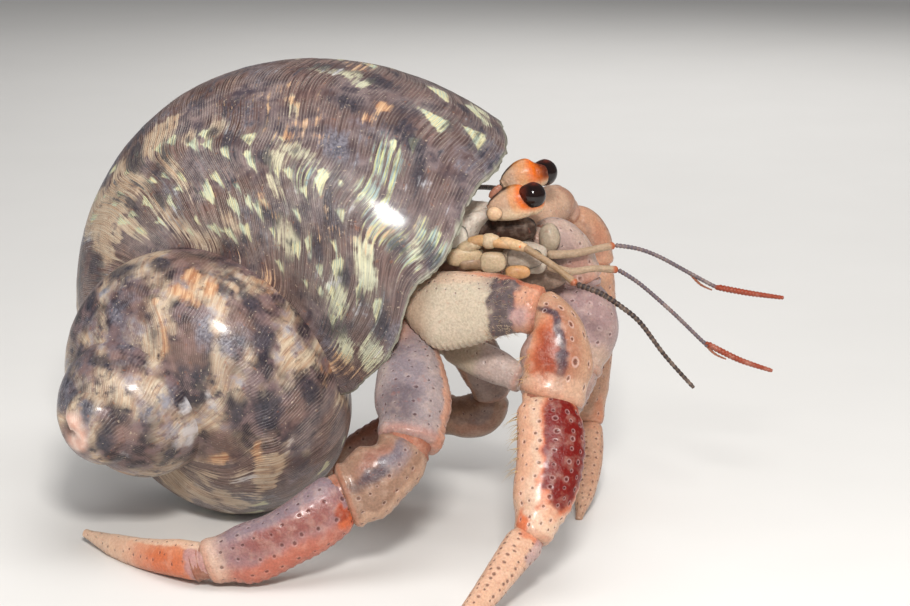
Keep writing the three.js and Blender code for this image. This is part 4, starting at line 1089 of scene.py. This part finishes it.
def feelers(side):
    skin = Skin()
    if side == "right":
        plates(skin, [((0.4, -1.7, 38.4), (3.0, -2.1, 39.4), 0.85, 0.8, (184, 162, 130)),
                      ((3.5, -2.4, 39.8), (5.3, -2.7, 39.9), 0.95, 0.9, (190, 166, 134)),
                      ((5.7, -2.9, 40.0), (9.0, -4.0, 39.3), 0.7, 0.66, (184, 150, 112))])
        feeler_skin(skin, FEELERS["antenna_base_right"], 20, (190, 148, 104), tip_colour=(206, 112, 54),
                    tip_from=0.93, slim=0.7)
    else:
        feeler_skin(skin, FEELERS["antenna_base_left"], 20, (190, 158, 130), tip_colour=(206, 132, 80),
                    tip_from=0.92)
        lobe(skin, (12.4, 5.2, 38.4), (1.5, 1.2, 2.1), (166, 150, 130), squareness=1)
    feeler_skin(skin, FEELERS[f"antenna_stalk_{side}"], 16, (148, 122, 94), tip_colour=(158, 84, 50))
    feeler_skin(skin, FEELERS[f"antenna_whip_{side}"], 10, (52, 42, 42), bead=0.62, step=0.1)
    nodes = [f"antenna_{part}_{side}" for part in ("base", "stalk", "whip")]
    skin.piece(f"antenna_{side}", MATERIALS["feeler"], "feelers", nodes)
    skin = Skin()
    feeler_skin(skin, FEELERS[f"antennule_base_{side}"], 24, (180, 166, 150))
    feeler_skin(skin, FEELERS[f"antennule_stalk_{side}"], 16, (160, 136, 112), tip_colour=(158, 82, 48),
                tip_from=0.93)
    whip = FEELERS[f"antennule_whip_{side}"]
    feeler_skin(skin, whip, 10, (92, 82, 90), bead=0.5, tip_colour=(138, 60, 38), tip_from=0.6, step=0.1)
    root = np.array(whip[0][3])
    branch = [root, root + (1.4, 0, -1.5), root + (3.0, 0, -2.3)], (0.2, 0.16, 0.1)
    feeler_skin(skin, branch, 8, (150, 88, 62), bead=0.5)
    nodes = [f"antennule_{part}_{side}" for part in ("base", "stalk", "whip")]
    skin.piece(f"antennule_{side}", MATERIALS["feeler"], "feelers", nodes)


def plates(skin, table, face=RIGHT):
    """Small rounded plates and joints: start, end, half width, half thickness, colour."""
    for start, end, wide, thick, colour in table:
        a, b = np.array(start, float), np.array(end, float)
        taper = np.array([0.72, 1, 1.05, 1, 0.78])
        spec = [a, (a + b) / 2, b, wide * taper, wide * taper, thick * taper]
        points, *_, rows = segment(spec, face, 40, 40, run=0.1, cap=0.5 * wide)
        points = raised(points, rows, 40, 0.05 * noise(points, 0.9, 71))
        skin.tube(points, rows, 40, **painted(points, colour))


def lobe(skin, centre, radii, colour, seed=72, squareness=0.78):
    """A rounded lump, or a squarer plate with rounded corners where squareness is well below 1."""
    rows, sides = 36, 40
    ball = sphere(rows, sides, 0.03)
    ball = np.sign(ball) * np.abs(ball) ** squareness
    points = np.array(centre) + ball * radii * (1 + 0.08 * noise(ball, 0.8, seed))[:, None]
    fields = painted(points, colour)
    outside = ball @ unit(RIGHT if centre[1] < 6 else LEFT)
    lit = 0.24 + 0.76 * smooth(0.0, 0.6, outside + 0.12 * noise(points, 0.7, seed))
    fields["paint"] = fields["paint"] * lit[:, None]  # painted shade: darker on the side turned in toward the crab's middle and in the gaps behind it
    skin.tube(points, rows, sides, **fields)


def mouthparts(side):
    skin = Skin()
    feeler_skin(skin, FEELERS[f"maxilliped_{side}"], 28, (150, 122, 96), slim=0.68)
    if side == "right":
        lobe(skin, (1.3, -2.0, 37.6), (2.5, 0.8, 1.2), (186, 162, 128), squareness=0.66)
        lobe(skin, (4.9, -2.5, 37.05), (1.7, 0.8, 1.35), (190, 168, 138), squareness=0.66)
        lobe(skin, (0.2, -1.0, 39.4), (1.6, 0.9, 2.2), (206, 198, 184))
        lobe(skin, (9.0, -1.2, 37.2), (2.4, 0.6, 1.4), (158, 144, 130))
        lobe(skin, (8.1, -2.0, 35.6), (1.7, 0.7, 0.9), (190, 142, 96))
        lobe(skin, (11.2, 3.0, 33.5), (3.4, 1.0, 1.5), (124, 102, 88))
        lobe(skin, (3.6, -1.2, 34.8), (2.6, 1.0, 1.2), (196, 160, 128))
        # a dark lump that stands in for the shade in the gap under the near eyestalk: painted shade
        lobe(skin, (6.6, 3.6, 40.0), (4.2, 1.2, 1.9), (58, 38, 28))
    else:
        lobe(skin, (5.6, 8.8, 37.7), (1.9, 0.9, 1.1), (202, 184, 152))
        lobe(skin, (8.0, 7.6, 36.0), (1.6, 0.7, 0.9), (204, 142, 84))
    skin.piece(f"maxilliped_{side}_skin", MATERIALS["body"], "body", [f"maxilliped_{side}"])


def eye(side):
    face = RIGHT if side == "right" else LEFT
    flip = 1 if side == "right" else -1
    skin = Skin()
    spec = [np.array(part, float) for part in HEAD[f"stalk_{side}"]]
    spec[2] = spec[2] + ((0.35, 0, -0.45) if side == "right" else (-0.3, 0, -0.2))
    upper = 4 if side == "right" else 3
    spec[upper] = spec[upper] * (1, 1, 1, 0.85, 0.6)
    points, t, c, _, rows = segment(spec, face, 60, 72, run=0.2, collar=0.8, cap=1.3)
    colours = painted(points, (172, 142, 118))
    top = -c * flip
    near_eye = np.linalg.norm((points - eye_middle(side)) / EYE_RADII, axis=1)
    near_eye = near_eye / (1 if side == "right" else 1.4)
    colours["paint"] = wash(colours["paint"], t, top, [
        ((176, 134, 104), 0.62, 0.5, 0.4, 0.4, 0.5, 0.6), ((214, 188, 156), 0.6, 0.6, -0.8, 0.5, 0.8, 0.6),
        ((36, 22, 20), 0.4, 0.5, 0.95, 0.13 if side == "right" else 0.07, 0.95, 0.5)])
    for ring, edge, depth in EYE_RINGS:
        amount = depth * smooth(edge, edge - 0.4, near_eye) * smooth(-0.95, -0.2, top)
        colours["paint"] = toward(colours["paint"], tone(ring), amount[:, None])
    skin.tube(points, rows, 72, **colours)
    out = -1.0 * flip
    lobe(skin, spec[0] + (0.4, 1.3 * out, 0.05), (1.1, 0.75, 0.95), (202, 168, 134), squareness=1)
    if side == "right":
        plates(skin, [(spec[0] + (-0.1, -0.7 * out, 1.8), spec[0] + (1.1, -0.7 * out, 3.2), 0.5, 0.35,
                       (150, 100, 80))], face)
    skin.piece(f"eyestalk_{side}_skin", MATERIALS["body"], "body", [f"eyestalk_{side}"])
    cornea(side)


def eye_middle(side):
    """The cornea bulges out of the stalk's outer side."""
    return np.array(EYES[side]) + ((-0.5, -0.25, -0.3) if side == "right" else (-0.2, 0.9, -0.4))


def cornea(side):
    """A glossy drop, its point running back along the top of the stalk."""
    skin = Skin()
    rows, sides = 40, 56
    ball = sphere(rows, sides, 0.02)
    back = np.maximum(0, -ball[:, 0])
    ball[:, 1:] *= (1 - 0.3 * back**1.5)[:, None]
    ball[:, 0] -= 0.22 * back**2
    ball[:, 2] += 0.12 * back**2
    points = eye_middle(side) + ball * EYE_RADII
    flank = np.abs(ball[:, 2]) * (ball[:, 0] < 0.9)
    brown = np.maximum(smooth(0.2, 1.0, back), 0.7 * smooth(0.75, 1.0, flank))[:, None]
    colours = tone((22, 12, 11)) * (1 - brown) + brown * tone((96, 36, 20))
    skin.tube(points, rows, sides, paint=colours)
    skin.piece(f"cornea_{side}_skin", MATERIALS["eye"], "eyes", [f"cornea_{side}"])


def shield():
    skin = Skin()
    points, t, c, s, rows = segment(HEAD["shield"], UP, 140, 140, run=0.6)
    pit, roots = scattered(t, c, s, HEAD["shield"], 40, 1.1, 0.13)
    rise = 0.1 * noise(points, 2.4, 31) + 0.05 * noise(points, 0.8, 32)
    rise = rise - 0.2 * bump(t - 0.1 * c**2, 0.42, 0.05) * smooth(-0.1, 0.4, s)  # the groove across
    rise = rise - 0.15 * bump(np.abs(c), 0.72, 0.1) * smooth(0.1, 0.5, s) * smooth(0.45, 0.55, t)
    points = raised(points, rows, 140, rise)
    colours = painted(points, (206, 196, 186), pit, 0.1)
    # the thin dark brown band at 0.42 along is painted shade in the groove across
    colours["paint"] = wash(colours["paint"], t, c, [
        ((176, 172, 176), 0.55, 0.3, 0.0, 0.5, 0.5, 0.6), ((222, 204, 180), 0.9, 0.2, 0.0, 1.0, 0.5, 0.6),
        ((96, 66, 52), 0.42, 0.03, 0.0, 1.2, 0.7, 0.5)])
    skin.tube(points, rows, 140, **colours)
    coat = Coat(3)
    for root in roots:
        if s[root] > 0.1:
            place = ((np.arctan2(s, c) / TURN % 1)[root], np.clip(t[root], 0, 1))
            coat.add(points[root], unit(points[root] - np.mean(points, axis=0)), np.array([0.8, 0, 0]),
                     np.array(place), colours["paint"][root] * 0.6, 0.35, 2)
    coat.piece("shield_bristles", "body")
    skin.piece("shield_skin", MATERIALS["body"], "body", ["shield"])


def flesh():
    """The soft parts, thorax and abdomen, as one skin without seams."""
    skin = Skin()
    points, *_, rows = segment(HEAD["thorax"], UP, 60, 64, run=0.6)
    skin.tube(points, rows, 64)
    steps, sides = 44, 64
    way = np.linspace(0, 1, steps)
    degrees = -180 + 360 * (np.arange(sides) + 0.5) / sides
    turn, deg = np.meshgrid(-SHELL["cavity_turns"] + 0.03 + 0.25 * way, degrees, indexing="ij")
    fill = 0.88 - 0.34 * np.maximum(0, way - 0.4) ** 1.5
    fill[-4:] *= (0.94, 0.8, 0.55, 0.2)
    fill[:3] *= (0.5, 0.85, 0.97)
    points = shell_points(turn.ravel(), deg.ravel(), (cavity_reach(degrees)[None] * fill[:, None]).ravel())
    skin.tube(points, steps, sides)
    # the waist that joins them
    waist_from, waist_to = points[-sides:].mean(axis=0), np.array(HEAD["thorax"][0], float)
    wide = np.array([7, 5.4, 4.6, 4.6, 4.6])
    spec = [waist_from, (waist_from + waist_to) / 2, waist_to, wide, wide, [5, 4.4, 4, 3.6, 3.4]]
    points, *_, rows = segment(spec, UP, 40, 48, run=4, cap=3)
    skin.tube(points, rows, 48)
    rough = skin.piece("flesh_rough", MATERIALS["soft"], "abdomen")
    remesh = rough.modifiers.new("remesh", "REMESH")
    remesh.mode = "VOXEL"
    remesh.voxel_size = FLESH_VOXEL * MM
    even = rough.modifiers.new("even", "SMOOTH")
    even.iterations = 6
    bpy.context.view_layer.update()
    whole = rough.evaluated_get(bpy.context.evaluated_depsgraph_get()).to_mesh()
    points = np.zeros(3 * len(whole.vertices))
    whole.vertices.foreach_get("co", points)
    points = points.reshape(-1, 3) / MM - SHIFT
    faces = np.array([tuple(face.vertices) for face in whole.polygons])
    mesh = rough.data
    bpy.data.objects.remove(rough)
    bpy.data.meshes.remove(mesh)
    wrinkles = np.sin(points @ unit(LIP_WAY) * 5 + 2 * noise(points, 4, 81))
    mottling = 1 + 0.12 * wrinkles + 0.3 * noise(points, 2.0, 82) + 0.15 * noise(points, 0.8, 83)
    colours = painted(points, (164, 116, 98))["paint"] * mottling[:, None]
    skin = Skin()
    skin.add(points, faces, paint=np.clip(colours, 0, 1))
    skin.piece("flesh_skin", MATERIALS["soft"], "abdomen", ["thorax", "abdomen"])


# ------------------------------------------------------------------ camera, light and floor
CAMERA_RISE = math.radians(14)  # the camera looks down by this much
CAMERA_AWAY = 400
SENSOR = 36
VIEW_WIDTH = 118.3  # of the picture at the crab's middle, mm
TARGET = np.array([0, 0, 31.0])


def aim(obj, where, at):
    way = unit(np.array(at, float) - np.array(where, float))
    right = unit(np.cross(way, UP))
    up = np.cross(right, way)
    matrix = np.eye(4)
    matrix[:3, 0], matrix[:3, 1], matrix[:3, 2] = right, up, -way
    matrix[:3, 3] = (np.array(where) + SHIFT) * MM
    obj.matrix_world = Matrix(matrix.tolist())


def camera():
    data = bpy.data.cameras.new("camera")
    data.sensor_width = SENSOR
    data.lens = SENSOR * CAMERA_AWAY / VIEW_WIDTH
    data.clip_start, data.clip_end = 0.01, 20
    obj = bpy.data.objects.new("camera", data)
    bpy.context.scene.collection.objects.link(obj)
    look = np.array([0, math.cos(CAMERA_RISE), -math.sin(CAMERA_RISE)])
    aim(obj, TARGET - CAMERA_AWAY * look, TARGET)
    bpy.context.scene.camera = obj


def lamp(name, where, size, watts, colour=(1, 1, 1), glint=False):
    data = bpy.data.lights.new(name, "AREA")
    data.size = size * MM
    data.energy = watts
    data.color = colour
    obj = bpy.data.objects.new(name, data)
    bpy.context.scene.collection.objects.link(obj)
    obj.visible_glossy = glint  # one highlight, as from one flash
    aim(obj, where, (0, 0, 25))


def studio():
    bpy.context.scene.view_settings.view_transform = "Standard"
    lamp("key", (10, -340, 262), 60, 1.55, (1, 0.985, 0.96), glint=True)
    lamp("top", (40, -40, 420), 300, 0.9)
    lamp("left", (-330, -160, 150), 240, 0.36, (0.97, 0.98, 1))
    lamp("right", (330, -120, 140), 240, 0.36)
    lamp("back", (60, 360, 220), 260, 0.5)
    world = bpy.data.worlds.new("studio")
    world.use_nodes = True
    world.node_tree.nodes["Background"].inputs["Color"].default_value = (0.96, 0.97, 1, 1)
    world.node_tree.nodes["Background"].inputs["Strength"].default_value = 0.17
    bpy.context.scene.world = world
    bpy.ops.mesh.primitive_plane_add(size=6)
    floor = bpy.context.object
    floor.name = "floor"
    n = Nodes("floor")
    n.finish(n.mix(n.noise(30, 2.0), (0.72, 0.7, 0.67), (0.76, 0.74, 0.71)), 0.7)
    floor.data.materials.append(n.material)


shell_piece()
for leg, parts in LEGS.items():
    limb(leg, parts, RIGHT if leg.endswith("right") else LEFT)
for claw, parts in CLAWS.items():
    limb(claw, parts, RIGHT if claw.endswith("right") else LEFT)
for side in ("right", "left"):
    feelers(side)
    mouthparts(side)
    eye(side)
shield()
flesh()
camera()
studio()

bpy.context.view_layer.update()
